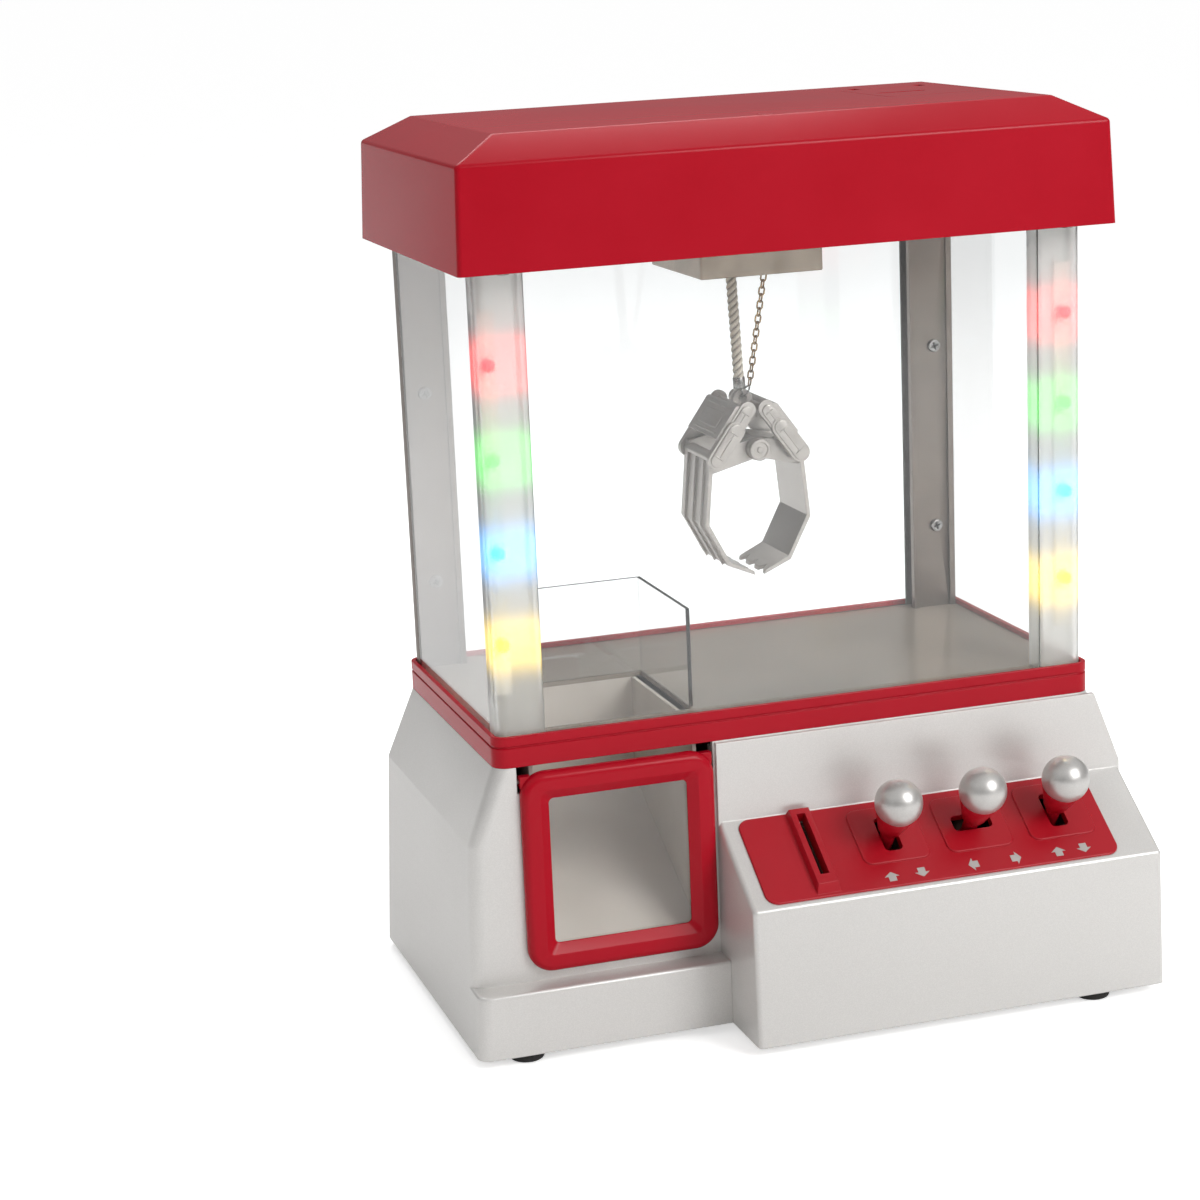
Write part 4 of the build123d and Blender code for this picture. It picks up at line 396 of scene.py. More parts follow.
def lamp_light(tree: Tree, reach: float) -> Socket:
    """Mix the colours of the lamps by height: painted glow on the columns, the lamps' own colour in the
    lenses.

    Args:
        tree: The material's node tree.
        reach: How far in mm each lamp's light spreads up and down.

    Returns:
        A colour socket: black far from every lamp.
    """
    height = add(tree, "ShaderNodeSeparateXYZ", {"Vector": place_of(tree)}).outputs["Z"]
    total = None
    for lamp in LAMPS:
        away = add(tree, "ShaderNodeMath", {0: height, 1: lamp.height * MM}, operation="SUBTRACT")
        far = add(tree, "ShaderNodeMath", {0: away.outputs[0]}, operation="ABSOLUTE")
        near = ramp(tree, far.outputs[0], (0, reach * MM), (1, 0), interpolation_type="SMOOTHERSTEP")
        lit = blend(tree, near, (0, 0, 0, 1), linear(lamp.colour))
        total = lit if total is None else blend(tree, 1.0, total, lit, blend_type="ADD")
    return total


@dataclass(frozen=True)
class GlowPaintedColumn:
    """Clear styrene with a fine frost inside, with painted glow: soft pools of the lamps' colours painted on
    as emission by height.

    Args:
        name: The finish's name.
        tint: What it lets through, sRGB hex.
        roughness: The frost's roughness.
        glow: Strength of the painted glow pools.
        reach: How far in mm a painted pool spreads up and down.
        clear: Share of the light that goes through, the rest is milky.
    """

    name: str
    tint: str
    roughness: float
    glow: float
    reach: float
    clear: float = 0.86

    def make(self) -> bpy.types.Material:
        """Return the material, which lets lamp light straight through."""
        material, tree, shader, output = blank(self.name)
        shader.inputs["Base Color"].default_value = linear(self.tint)
        shader.inputs["Transmission Weight"].default_value = self.clear
        shader.inputs["IOR"].default_value = STYRENE_IOR
        frost = noise(tree, place_of(tree), 2.5, 2.0)
        rough = ramp(tree, frost, given=about(self.roughness, 0.03))
        tree.links.new(rough, shader.inputs["Roughness"])
        # painted glow: emission in the lamps' colours by height, standing in for their light scattered in the
        # frost
        tree.links.new(lamp_light(tree, self.reach), shader.inputs["Emission Color"])
        shader.inputs["Emission Strength"].default_value = self.glow
        let_through(tree, shader, output, self.tint)
        return material


@dataclass(frozen=True)
class LampLens:
    """Water-clear epoxy over a lit chip: the lens is full of its colour.

    Args:
        name: The finish's name.
        strength: How brightly it shines.
    """

    name: str
    strength: float

    def make(self) -> bpy.types.Material:
        """Return the material."""
        material, tree, shader, _ = blank(self.name)
        light = lamp_light(tree, 15.0)
        tree.links.new(light, shader.inputs["Base Color"])
        tree.links.new(light, shader.inputs["Emission Color"])
        shader.inputs["Emission Strength"].default_value = self.strength
        shader.inputs["Roughness"].default_value = 0.1
        shader.inputs["IOR"].default_value = EPOXY_IOR
        return material


@dataclass(frozen=True)
class TwistedJute:
    """Twisted soft rope: pale straw fibres along the strands, with stray darker ones, and painted shade down
    in the grooves between the strands.

    Args:
        name: The finish's name.
        colour: Its colour, sRGB hex.
        dark: Its darker fibres, sRGB hex.
        painted_groove_shade: The painted shade down between its strands, sRGB hex.
    """

    name: str
    colour: str
    dark: str
    painted_groove_shade: str = "4A4033"

    def make(self) -> bpy.types.Material:
        """Return the material."""
        material, tree, shader, _ = blank(self.name)
        # fibres are about 0.05 mm, drawn 0.25 mm wide so that they show
        fibres = noise(tree, place_of(tree, (1, 1, 0.35)), 0.25, 3.0, 0.7)
        share = ramp(tree, fibres, (0.4, 0.7))
        tint = blend(tree, share, linear(self.colour), linear(self.dark))
        bump = add(tree, "ShaderNodeBump", {"Strength": 0.7, "Distance": 0.12 * MM, "Height": fibres})
        # painted shade: the colour darkens down in the grooves between the strands, by the crown attribute
        out = add(tree, "ShaderNodeAttribute", attribute_name=CROWN)
        painted_groove_tint = blend(tree, out.outputs["Fac"], linear(self.painted_groove_shade), tint)
        tree.links.new(painted_groove_tint, shader.inputs["Base Color"])
        tree.links.new(bump.outputs["Normal"], shader.inputs["Normal"])
        shader.inputs["Roughness"].default_value = 0.85
        shader.inputs["Sheen Weight"].default_value = 0.3
        return material


RED_GLOSS = MouldedPlastic("red_moulded_abs", "A8061C", "AC081F", 0.26, 2.4, 0.003, 0.5, 0.17)
RED_PANEL = MouldedPlastic("red_satin_abs", "AC0A1E", "A5081B", 0.34, 0.9, 0.006, 0.3, 0.35)
SILVER_SHELL = FleckedPlastic("silver_flake_abs", "D2D0CD", "DCDAD7", 0.42, 0.36, 0.24, 0.6)
PEARL_KNOB = FleckedPlastic("pearl_silver_knob", "C8C6C3", "D2D0CD", 0.75, 0.34, 0.25, 0.2)
CLAW_PAINT = FleckedPlastic("silver_sprayed_claw", "A8A29D", "BBB6B0", 0.7, 0.32, 0.25, 0.25)
CLEAR = ClearStyrene("clear_styrene", "F7F8F8")
COLUMN = GlowPaintedColumn("frosted_styrene_column", "ECECEA", 0.3, 0.34, 17.0)
LENS = LampLens("lamp_epoxy", 9.0)
POST_METAL = WorkedMetal("brushed_post", "766C64", "6B6159", Grain.UPRIGHT, 0.34, 0.5, 0.8)
CARRIAGE_METAL = WorkedMetal("brushed_carriage", "A99B8C", "8C7F70", Grain.ACROSS, 0.36, 0.5, 0.7, 0.4)
STEEL = WorkedMetal("turned_steel", "9C9A98", "7E7C7A", Grain.EVEN, 0.28, 0.3)
CHAIN_METAL = WorkedMetal("bronzed_chain", "A88A5E", "7C6242", Grain.EVEN, 0.26, 0.4)
FLOOR_PLASTIC = MouldedPlastic("grey_floor_styrene", "82786D", "8C8277", 0.2, 1.4, 0.003, 0.2)
INNER_PLASTIC = MouldedPlastic("dark_inner_abs", "5C5349", "4F473F", 0.45, 0.8, 0.01, 0.3)
CHUTE_PLASTIC = MouldedPlastic("grey_chute_abs", "C4BCB3", "B3AAA0", 0.4, 1.2, 0.004, 0.3)
WHITE_GEAR = MouldedPlastic("white_acetal", "E8E6DF", "DDDAD2", 0.35, 0.6, 0.02, 0.2)
BLACK_TRIM = MouldedPlastic("black_polypropylene", "151515", "1C1C1C", 0.45, 0.6, 0.03, 0.2)
FOOT_RUBBER = MouldedPlastic("black_rubber_foot", "1A1918", "24221F", 0.75, 0.4, 0.05, 0.4)
BOARD_RESIN = MouldedPlastic("green_circuit_resin", "1F5A36", "174A2B", 0.3, 1.0, 0.01, 0.2)
WHITE_MASK = MouldedPlastic("white_circuit_resin", "E4E2DC", "DAD8D2", 0.35, 1.0, 0.01, 0.2)
CELL_LABEL = MouldedPlastic("printed_cell_sleeve", "23272B", "2C3238", 0.25, 1.5, 0.01, 0.5)
JUTE = TwistedJute("twisted_jute", "DDD4C6", "B9AC98")
ARROW_INK = MouldedPlastic("pale_grey_ink", "B9B4B0", "ADA8A4", 0.5, 0.3, 0.01, 0.1)

DRESS = {
    RED_GLOSS: ("hatch_lid",),
    PEARL_KNOB: ("joystick_1_ball", "joystick_2_ball", "joystick_3_ball"),
    RED_PANEL: ("joystick_1_lever", "joystick_2_lever", "joystick_3_lever"),
    CLEAR: ("window_front", "window_rear", "window_left", "window_right", "chute_guard", "prize_door_window"),
    COLUMN: ("column_left", "column_right"),
    LENS: ("leds",),
    CLAW_PAINT: ("claw_hub",),
    STEEL: ("bridge_rods", "gantry_motor", "trolley_motors", "hatch_pin", "prize_door_pins", "screws"),
    FLOOR_PLASTIC: ("prize_floor",),
    CHUTE_PLASTIC: ("prize_ramp",),
    INNER_PLASTIC: (
        "ceiling_plate",
        "bottom_plate",
        "battery_cover",
        "battery_box",
        "coin_chute",
        "coin_box",
        "joystick_brackets",
    ),
    WHITE_GEAR: ("bridge_frame", "gantry_pinion", "trolley_pinion", "hoist_drum", "coin_lever"),
    BLACK_TRIM: ("speaker", "power_switch"),
    BOARD_RESIN: ("main_board",),
    WHITE_MASK: ("led_boards",),
    CELL_LABEL: ("batteries",),
}


class Workshop:
    """Holds the frame and the finishes, and turns shaped meshes into pieces of the toy."""

    def __init__(self, frame: dict) -> None:
        """Keep the frame.
        """
        self.frame = frame
        self.finishes: dict[object, bpy.types.Material] = {}
        self.body_of = {
            node: body
            for body, nodes in frame["record"]["behaviour"]["bodies"].items()
            for node in nodes
        }

    def finish(self, kind: object) -> bpy.types.Material:
        """Return the material of a finish, made once."""
        if kind not in self.finishes:
            self.finishes[kind] = kind.make()
        return self.finishes[kind]

    def dress(self, node: str, kind: object) -> None:
        """Give a carried-over node its finish."""
        target = self.frame["nodes"][node]
        if not target.data.materials:
            target.data.materials.append(None)
        for held in target.material_slots:
            held.material = self.finish(kind)
        log.info("node %s dressed in %s", node, kind.name)

    def piece(
        self, name: str, shape: Shape, kind: object, body: str, smooth: float = 35.0
    ) -> bpy.types.Object:
        """Make a piece from a shape.

        Args:
            name: The piece's name.
            shape: Its shape, which is freed.
            kind: Its finish.
            body: The body it moves with.
            smooth: Edges sharper than this many degrees stay crisp.

        Returns:
            The new object, at the origin.
        """
        mesh = bpy.data.meshes.new(name)
        shape.to_mesh(mesh)
        shape.free()
        mesh.shade_smooth()
        mesh.set_sharp_from_angle(angle=math.radians(smooth))
        mesh.materials.append(self.finish(kind))
        made = bpy.data.objects.new(name, mesh)
        bpy.context.scene.collection.objects.link(made)
        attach(made, body)
        log.info("piece %s rides on %s", name, body)
        return made

    def softened(self, node: str, kind: object, radius: float, segments: int = 3) -> bpy.types.Object:
        """Stand in for a node with a copy whose sharp edges are rounded.

        Args:
            node: The node's name.
            kind: Its finish.
            radius: Radius of the rounding in mm.
            segments: Steps across each rounding.

        Returns:
            The new piece.
        """
        shape = bmesh.new()
        shape.from_mesh(self.frame["nodes"][node].data)
        bmesh.ops.remove_doubles(shape, verts=shape.verts, dist=1e-6)
        bmesh.ops.dissolve_limit(shape, angle_limit=math.radians(1), verts=shape.verts, edges=shape.edges)
        made = self.piece(f"{node}_moulded", shape, kind, self.body_of[node], 30.0)
        bevel = made.modifiers.new("edges", "BEVEL")
        bevel.width = radius * MM
        bevel.segments = segments
        bevel.limit_method = "ANGLE"
        bevel.angle_limit = math.radians(30)
        bevel.harden_normals = True
        bevel.use_clamp_overlap = True
        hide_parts(node)
        return made


def lathe(profile: Outline, steps: int) -> Shape:
    """Turn an outline about Z.

    Args:
        profile: Radius and height of each corner in mm, from the axis out and back to it.
        steps: Steps round the turn.

    Returns:
        A closed shape about the origin.
    """
    shape = bmesh.new()
    corners = [shape.verts.new((r * MM, 0, z * MM)) for r, z in profile]
    edges = [shape.edges.new(pair) for pair in zip(corners, corners[1:])]
    bmesh.ops.spin(
        shape,
        geom=corners + edges,
        cent=(0, 0, 0),
        axis=(0, 0, 1),
        angle=2 * math.pi,
        steps=steps,
        use_merge=True,
    )
    bmesh.ops.remove_doubles(shape, verts=shape.verts, dist=1e-7)
    bmesh.ops.recalc_face_normals(shape, faces=shape.faces)
    return shape


def round_edges(shape: Shape, edges: object, radius: float) -> None:
    """Round these edges of a shape off by so many mm."""
    bmesh.ops.bevel(
        shape,
        geom=edges,
        offset=radius * MM,
        offset_type="OFFSET",
        segments=2,
        profile=0.5,
        affect="EDGES",
        clamp_overlap=True,
        material=-1,
    )


def bar(size: Triple, round_off: float) -> Shape:
    """Return a bar with rounded edges about the origin, its size and rounding in mm."""
    shape = bmesh.new()
    bmesh.ops.create_cube(shape, size=1.0)
    bmesh.ops.scale(shape, vec=[s * MM for s in size], verts=shape.verts)
    round_edges(shape, shape.edges, round_off)
    return shape


def placed(shape: Shape, matrix: Matrix) -> Shape:
    """Return the shape after moving it."""
    bmesh.ops.transform(shape, matrix=matrix, verts=shape.verts)
    return shape


def joined(shapes: list[Shape]) -> Shape:
    """Return one shape that holds them all, and free them."""
    whole = bmesh.new()
    for shape in shapes:
        held = bpy.data.meshes.new("held")
        shape.to_mesh(held)
        shape.free()
        whole.from_mesh(held)
        bpy.data.meshes.remove(held)
    return whole


def frame_at(point: Vector, out: Vector, across: Vector) -> Matrix:
    """Return the matrix that puts Z along out and X as near across as it can, at a point."""
    z = out.normalized()
    y = z.cross(across).normalized()
    x = y.cross(z)
    turn = Matrix((x, y, z)).transposed().to_4x4()
    return Matrix.Translation(point) @ turn


@dataclass
class Shells:
    """The moulded outer pieces, whose edges are rounded as a mould leaves them.

    Args:
        roundings: For each node, its finish and the radius of its edges in mm.
    """

    roundings: dict[str, tuple[object, float]] = field(
        default_factory=lambda: {
            "roof_cap": (RED_GLOSS, 0.5),
            "rim_band": (RED_GLOSS, 0.35),
            "base_body": (SILVER_SHELL, 0.6),
            "control_housing": (SILVER_SHELL, 0.5),
            "control_panel": (RED_PANEL, 0.25),
            "prize_door": (RED_GLOSS, 0.3),
            "feet": (FOOT_RUBBER, 0.5),
            "trolley_housing": (CARRIAGE_METAL, 0.4),
            "post_left": (POST_METAL, 0.3),
            "post_right": (POST_METAL, 0.3),
            "jaw_left": (CLAW_PAINT, 0.25),
            "jaw_right": (CLAW_PAINT, 0.25),
            "link_left": (CLAW_PAINT, 0.3),
            "link_right": (CLAW_PAINT, 0.3),
            "claw_head": (CLAW_PAINT, 0.3),
            "hub_pin": (CLAW_PAINT, 0.5),
        }
    )

    def build(self, shop: Workshop) -> None:
        """Make every rounded shell."""
        for node, (kind, radius) in self.roundings.items():
            shop.softened(node, kind, radius)


@dataclass
class HoistLines:
    """The rope and the chain between the drum and the claw, in mm.

    Args:
        top: Height where they leave the drum.
        low: Height where they meet the claw's rings.
        depth: Their place from front to back.
        rope_x: The rope's place across at the top and at the bottom.
        chain_x: The chain's place across at the top and at the bottom.
        strand: Radius of one of the rope's three strands.
        twist: Radius of the strands' helix.
        lay: Length of one full turn of the rope.
        wire: Radius of the chain's wire.
        link_bend: Radius of a link's end bend.
        link_straight: Half the length of a link's straight sides.
        travel: How far the claw is wound up; not used.
        lug: Height of the claw's lug.
        crimp: Radius and height of each corner of the crimp on the rope's end.
        ring_bends: Radius of the rope's ring and of the chain's.
        ring_wire: Radius of their wire.
    """

    top: float = 316.5
    low: float = 246.9
    depth: float = -10.0
    rope_x: Pair = (-4.2, -0.9)
    chain_x: Pair = (15.4, 3.4)
    strand: float = 1.04
    twist: float = 1.2
    lay: float = 8.4
    wire: float = 0.37
    link_bend: float = 1.14
    link_straight: float = 0.62
    travel: float = 40.0
    lug: float = 242.3
    crimp: Outline = (
        (0, -1.0),
        (1.9, -1.0),
        (2.5, -0.6),
        (2.5, 3.4),
        (2.3, 3.8),
        (0, 3.8),
    )
    ring_bends: Pair = (2.3, 2.5)
    ring_wire: float = 0.38

    def line(self, across: Pair) -> tuple[Matrix, float]:
        """Return the matrix along a line from its lower end, with Z upwards, and its length in mm."""
        low = mm(across[1], self.depth, self.low)
        top = mm(across[0], self.depth, self.top)
        return frame_at(low, top - low, Vector((1, 0, 0))), (top - low).length / MM

    def rope_shape(self) -> Shape:
        """Return the three twisted strands."""
        matrix, length = self.line(self.rope_x)
        steps = int(length / self.lay * 20)
        strands = []
        for index in range(3):
            strand = bmesh.new()
            ring = bmesh.ops.create_circle(strand, segments=14, radius=self.strand * MM)["verts"]
            pitch = math.atan2(2 * math.pi * self.twist, self.lay)
            bmesh.ops.rotate(strand, cent=(0, 0, 0), matrix=Matrix.Rotation(-pitch, 3, "X"), verts=ring)
            bmesh.ops.translate(strand, vec=(self.twist * MM, 0, 0), verts=ring)
            turn = Matrix.Rotation(index * 2 * math.pi / 3, 3, "Z")
            bmesh.ops.rotate(strand, cent=(0, 0, 0), matrix=turn, verts=ring)
            bmesh.ops.contextual_create(strand, geom=strand.edges)
            rim = list(strand.verts) + list(strand.edges) + list(strand.faces)
            bmesh.ops.spin(
                strand,
                geom=rim,
                cent=(0, 0, 0),
                axis=(0, 0, 1),
                dvec=(0, 0, length * MM / steps),
                angle=2 * math.pi * length / self.lay,
                steps=steps,
                use_duplicate=False,
            )
            bmesh.ops.recalc_face_normals(strand, faces=strand.faces)
            # crown: 0 down in a groove, 1 on top of a strand; it masks the rope's painted groove shade
            crown = strand.verts.layers.float.new(CROWN)
            for vert in strand.verts:
                out = math.hypot(vert.co.x, vert.co.y) / MM - self.twist
                vert[crown] = min(max(out / self.strand, 0.0), 1.0) ** 1.4
            strands.append(strand)
        return placed(joined(strands), matrix)

    def chain_shape(self) -> Shape:
        """Return the run of links, each turned a quarter from the one below."""
        matrix, length = self.line(self.chain_x)
        pitch = 2 * (self.link_bend + self.link_straight - self.wire)
        count = int(length / pitch)
        links = []
        for index in range(count):
            link = self.ring_shape(self.link_bend, self.wire, self.link_straight, 12, 6)
            up = Matrix.Translation((0, 0, (index + 0.5) * length / count * MM))
            quarter = Matrix.Rotation(math.radians(45 + 90 * index), 4, "Z")
            links.append(placed(link, matrix @ up @ quarter))
        return joined(links)

    def ring_shape(self, bend: float, wire: float, straight: float, steps: int, around: int) -> Shape:
        """Bend a wire into a ring or an oval link that stands in the XZ plane.

        Args:
            bend: Radius of the wire's middle line in mm.
            wire: The wire's radius in mm.
            straight: Half the length of the straight sides in mm.
            steps: Steps round the ring.
            around: Corners round the wire.

        Returns:
            The closed ring about the origin, long along Z.
        """
        ring = bmesh.new()
        section = bmesh.ops.create_circle(ring, segments=around, radius=wire * MM)["verts"]
        bmesh.ops.translate(ring, vec=(bend * MM, 0, 0), verts=section)
        offset = math.pi / steps
        bmesh.ops.rotate(ring, cent=(0, 0, 0), matrix=Matrix.Rotation(offset, 3, "Y"), verts=section)
        bmesh.ops.spin(
            ring,
            geom=list(ring.verts) + list(ring.edges),
            cent=(0, 0, 0),
            axis=(0, 1, 0),
            angle=2 * math.pi,
            steps=steps,
            use_merge=True,
        )
        bmesh.ops.remove_doubles(ring, verts=ring.verts, dist=1e-7)
        upper = [v for v in ring.verts if v.co.z > 0]
        lower = [v for v in ring.verts if v.co.z <= 0]
        bmesh.ops.translate(ring, vec=(0, 0, straight * MM), verts=upper)
        bmesh.ops.translate(ring, vec=(0, 0, -straight * MM), verts=lower)
        bmesh.ops.recalc_face_normals(ring, faces=ring.faces)
        return ring

    def build(self, shop: Workshop) -> None:
        """Make the rope, the chain and the rings that join them to the claw's lug."""
        for node, piece, slot, shape, kind in (
            ("rope", "rope_twisted", "rope_fibre", self.rope_shape(), JUTE),
            ("chain", "chain_links", "chain_brass", self.chain_shape(), CHAIN_METAL),
        ):
            made = shop.piece(piece, shape, kind, "trolley", 60)
            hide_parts(node)
            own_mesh(made)
        rope_matrix, _ = self.line(self.rope_x)
        crimp = placed(lathe(self.crimp, 24), rope_matrix)
        shop.piece("rope_end_crimp", crimp, STEEL, "claw_top")
        rings = []
        for across, bend in zip((self.rope_x[1], self.chain_x[1]), self.ring_bends):
            ring = self.ring_shape(bend, self.ring_wire, 0.0, 28, 8)
            lean = Matrix.Rotation(math.atan2(across, self.low - self.lug), 4, "Y")
            side = Matrix.Rotation(math.radians(90), 4, "Z")
            middle = mm(across / 2, self.depth, (self.low + self.lug) / 2)
            rings.append(placed(ring, Matrix.Translation(middle) @ lean @ side))
        shop.piece("lug_rings", joined(rings), STEEL, "claw_top")


@dataclass
class ClawTrim:
    """Caps, raised pads and lines on the claw's faces, in mm about the hub.

    Args:
        hub: The hub's place in the cabinet.
        head: Place of a head pivot from the hub, for the right side.
        shoulder: Place of a shoulder pivot from the hub, for the right side.
        face: How far the link's thick faces stand from the middle.
        step: How much nearer the link's upper faces are.
        cap_face: How far the hub caps stand from the middle.
        cap: Radius and height of each corner of a hub cap.
        waist: Share of the link's length where its thin upper half ends.
        sink: How deep the pads are set into their faces.
        pad: Height of the pads.
        pad_edge: Rounding of the pads' edges.
        pad_ends: Radius of the round ends of the upper and of the lower pad.
        pad_short: How much shorter than its half of the link the upper pad is.
        line: Width and height of the raised lines on a pad.
        line_edge: Rounding of the lines.
        line_ends: Where the two cross lines stand, as shares of the pad's length from its middle.
        panel: Size of the panel on a link's outer plate, across, along and out.
        panel_at: The panel's middle, along from the head pivot and out of the link.
        rail: Size of a rail beside the panel.
        rails_at: Where the two rails stand from the panel's middle.
    """

    hub: Triple = (0.0, -10.0, 223.9)
    head: Pair = (4.0, 16.0)
    shoulder: Pair = (17.7, -2.9)
    face: float = 18.4
    step: float = 1.0
    cap_face: float = 17.7
    cap: Outline = (
        (0, -0.3),
        (4.4, -0.3),
        (4.4, 1.9),
        (4.1, 2.3),
        (3.2, 2.3),
        (2.9, 1.9),
        (1.4, 1.9),
        (1.1, 2.4),
        (0, 2.4),
    )
    waist: float = 0.42
    sink: float = 0.3
    pad: float = 0.55
    pad_edge: float = 0.28
    pad_ends: Pair = (2.55, 2.95)
    pad_short: float = 2.2
    line: Pair = (0.45, 0.5)
    line_edge: float = 0.15
    line_ends: Pair = (-0.42, 0.42)
    panel: Triple = (7.0, 21.0, 1.0)
    panel_at: Pair = (9.0, 4.9)
    rail: Triple = (0.9, 26.0, 0.8)
    rails_at: Pair = (-6.0, 5.4)

    def at(self, x: float, out: float, z: float) -> Vector:
        """Return the place of a point given from the hub."""
        return mm(self.hub[0] + x, self.hub[1] + out, self.hub[2] + z)

    def lozenge(self, length: float, radius: float, height: float) -> Shape:
        """Return a raised pad with round ends, along X, sunk a little into its face, in mm."""
        shape = bmesh.new()
        rim = []
        for end, start in ((length / 2, -90), (-length / 2, 90)):
            for step in range(9):
                turn = math.radians(start + step * 22.5)
                place = (end + radius * math.cos(turn), radius * math.sin(turn), -self.sink)
                rim.append(shape.verts.new([c * MM for c in place]))
        raised = bmesh.ops.extrude_face_region(shape, geom=[shape.faces.new(rim)])["geom"]
        tops = [v for v in raised if isinstance(v, bmesh.types.BMVert)]
        bmesh.ops.translate(shape, vec=(0, 0, (height + self.sink) * MM), verts=tops)
        edges = [e for e in shape.edges if all(v in tops for v in e.verts)]
        round_edges(shape, edges, self.pad_edge)
        bmesh.ops.recalc_face_normals(shape, faces=shape.faces)
        return shape

    def link_trim(self, side: int) -> Shape:
        """Return what stands on one link, for side 1 or -1."""
        shapes = []
        run = Vector((side * (self.shoulder[0] - self.head[0]), 0, self.shoulder[1] - self.head[1]))
        along = run.normalized()
        middle = run.length * self.waist
        for facing in (-1, 1):
            out = Vector((0, facing, 0))
            near = self.at(side * self.head[0], facing * (self.face - self.step), self.head[1])
            far = self.at(side * self.shoulder[0], facing * self.face, self.shoulder[1])
            upper = near + along * middle / 2 * MM
            lower = far - along * (run.length - middle) / 2 * MM
            pads = ((upper, middle - self.pad_short), (lower, run.length - middle))
            for (place, length), radius in zip(pads, self.pad_ends):
                seat = frame_at(place, out, along)
                shapes.append(placed(self.lozenge(length, radius, self.pad), seat))
                ridge = bar((length * 0.8, *self.line), self.line_edge)
                shapes.append(placed(ridge, seat @ Matrix.Translation((0, 0, self.pad * MM))))
                for end in self.line_ends:
                    score = bar((self.line[0], radius * 1.3, self.line[1]), self.line_edge)
                    shift = Matrix.Translation((end * length * MM, 0, self.pad * MM))
                    shapes.append(placed(score, seat @ shift))
        return joined(shapes)

    def hub_caps(self) -> Shape:
        """Return the two stepped, dished caps on the hub pin."""
        shapes = []
        for facing in (-1, 1):
            dish = lathe(self.cap, 36)
            seat = self.at(0, facing * self.cap_face, 0)
            shapes.append(placed(dish, frame_at(seat, Vector((0, facing, 0)), Vector((1, 0, 0)))))
        return joined(shapes)

    def plate_trim(self, side: int) -> Shape:
        """Return the raised panel and the two rails on the outer plate of one link."""
        run = Vector((side * (self.shoulder[0] - self.head[0]), 0, self.shoulder[1] - self.head[1]))
        along = run.normalized()
        out = Vector((-along.z, 0, along.x)) * side
        if out.z < 0:
            out = -out
        reach, rise = self.panel_at
        start = self.at(side * self.head[0], 0, self.head[1]) + along * reach * MM + out * rise * MM
        seat = frame_at(start, out, along)
        shapes = [placed(bar(self.panel, 0.35), seat)]
        for end in self.rails_at:
            shapes.append(placed(bar(self.rail, 0.3), seat @ Matrix.Translation((end * MM, 0, 0))))
        return joined(shapes)

    def build(self, shop: Workshop) -> None:
        """Make the trim of the hub and of both links."""
        shop.piece("hub_caps", self.hub_caps(), CLAW_PAINT, "claw_middle")
        for side, name in ((-1, "left"), (1, "right")):
            shop.piece(f"link_{name}_trim", self.link_trim(side), CLAW_PAINT, f"claw_link_{name}")
            shop.piece(f"link_{name}_panel", self.plate_trim(side), CLAW_PAINT, f"claw_link_{name}")


@dataclass
class PostTrim:
    """The cross recesses of the screws on the rear posts, drawn as black bars of painted shade, in mm.

    Args:
        across: Place of the screws either side of the middle.
        heights: Heights of the screws.
        face: Place of the screw heads' faces from front to back.
        width: Width of one arm of a cross.
        length: Length of one arm of a cross.
        turns: The way each arm of a cross is turned, in degrees.
    """

    across: float = 113.45
    heights: Pair = (164.8, 244.8)
    face: float = 69.45 - CABINET_BACK
    width: float = 0.8
    length: float = 3.2
    turns: Pair = (20, 110)

    def build(self, shop: Workshop) -> None:
        """Make the crosses of painted shade."""
        shapes = []
        for x, z in ((side * self.across, z) for z in self.heights for side in (-1, 1)):
            seat = frame_at(mm(x, self.face, z), Vector((0, -1, 0)), Vector((1, 0, 0)))
            for turn in self.turns:
                arm = bar((self.length, self.width, 0.3), 0.1)
                shapes.append(placed(arm, seat @ Matrix.Rotation(math.radians(turn), 4, "Z")))
        # painted shade: black bars stand for the shade down in each screw's cross recess
        shop.piece("post_screw_recess_painted_shade", joined(shapes), BLACK_TRIM, "cabinet")


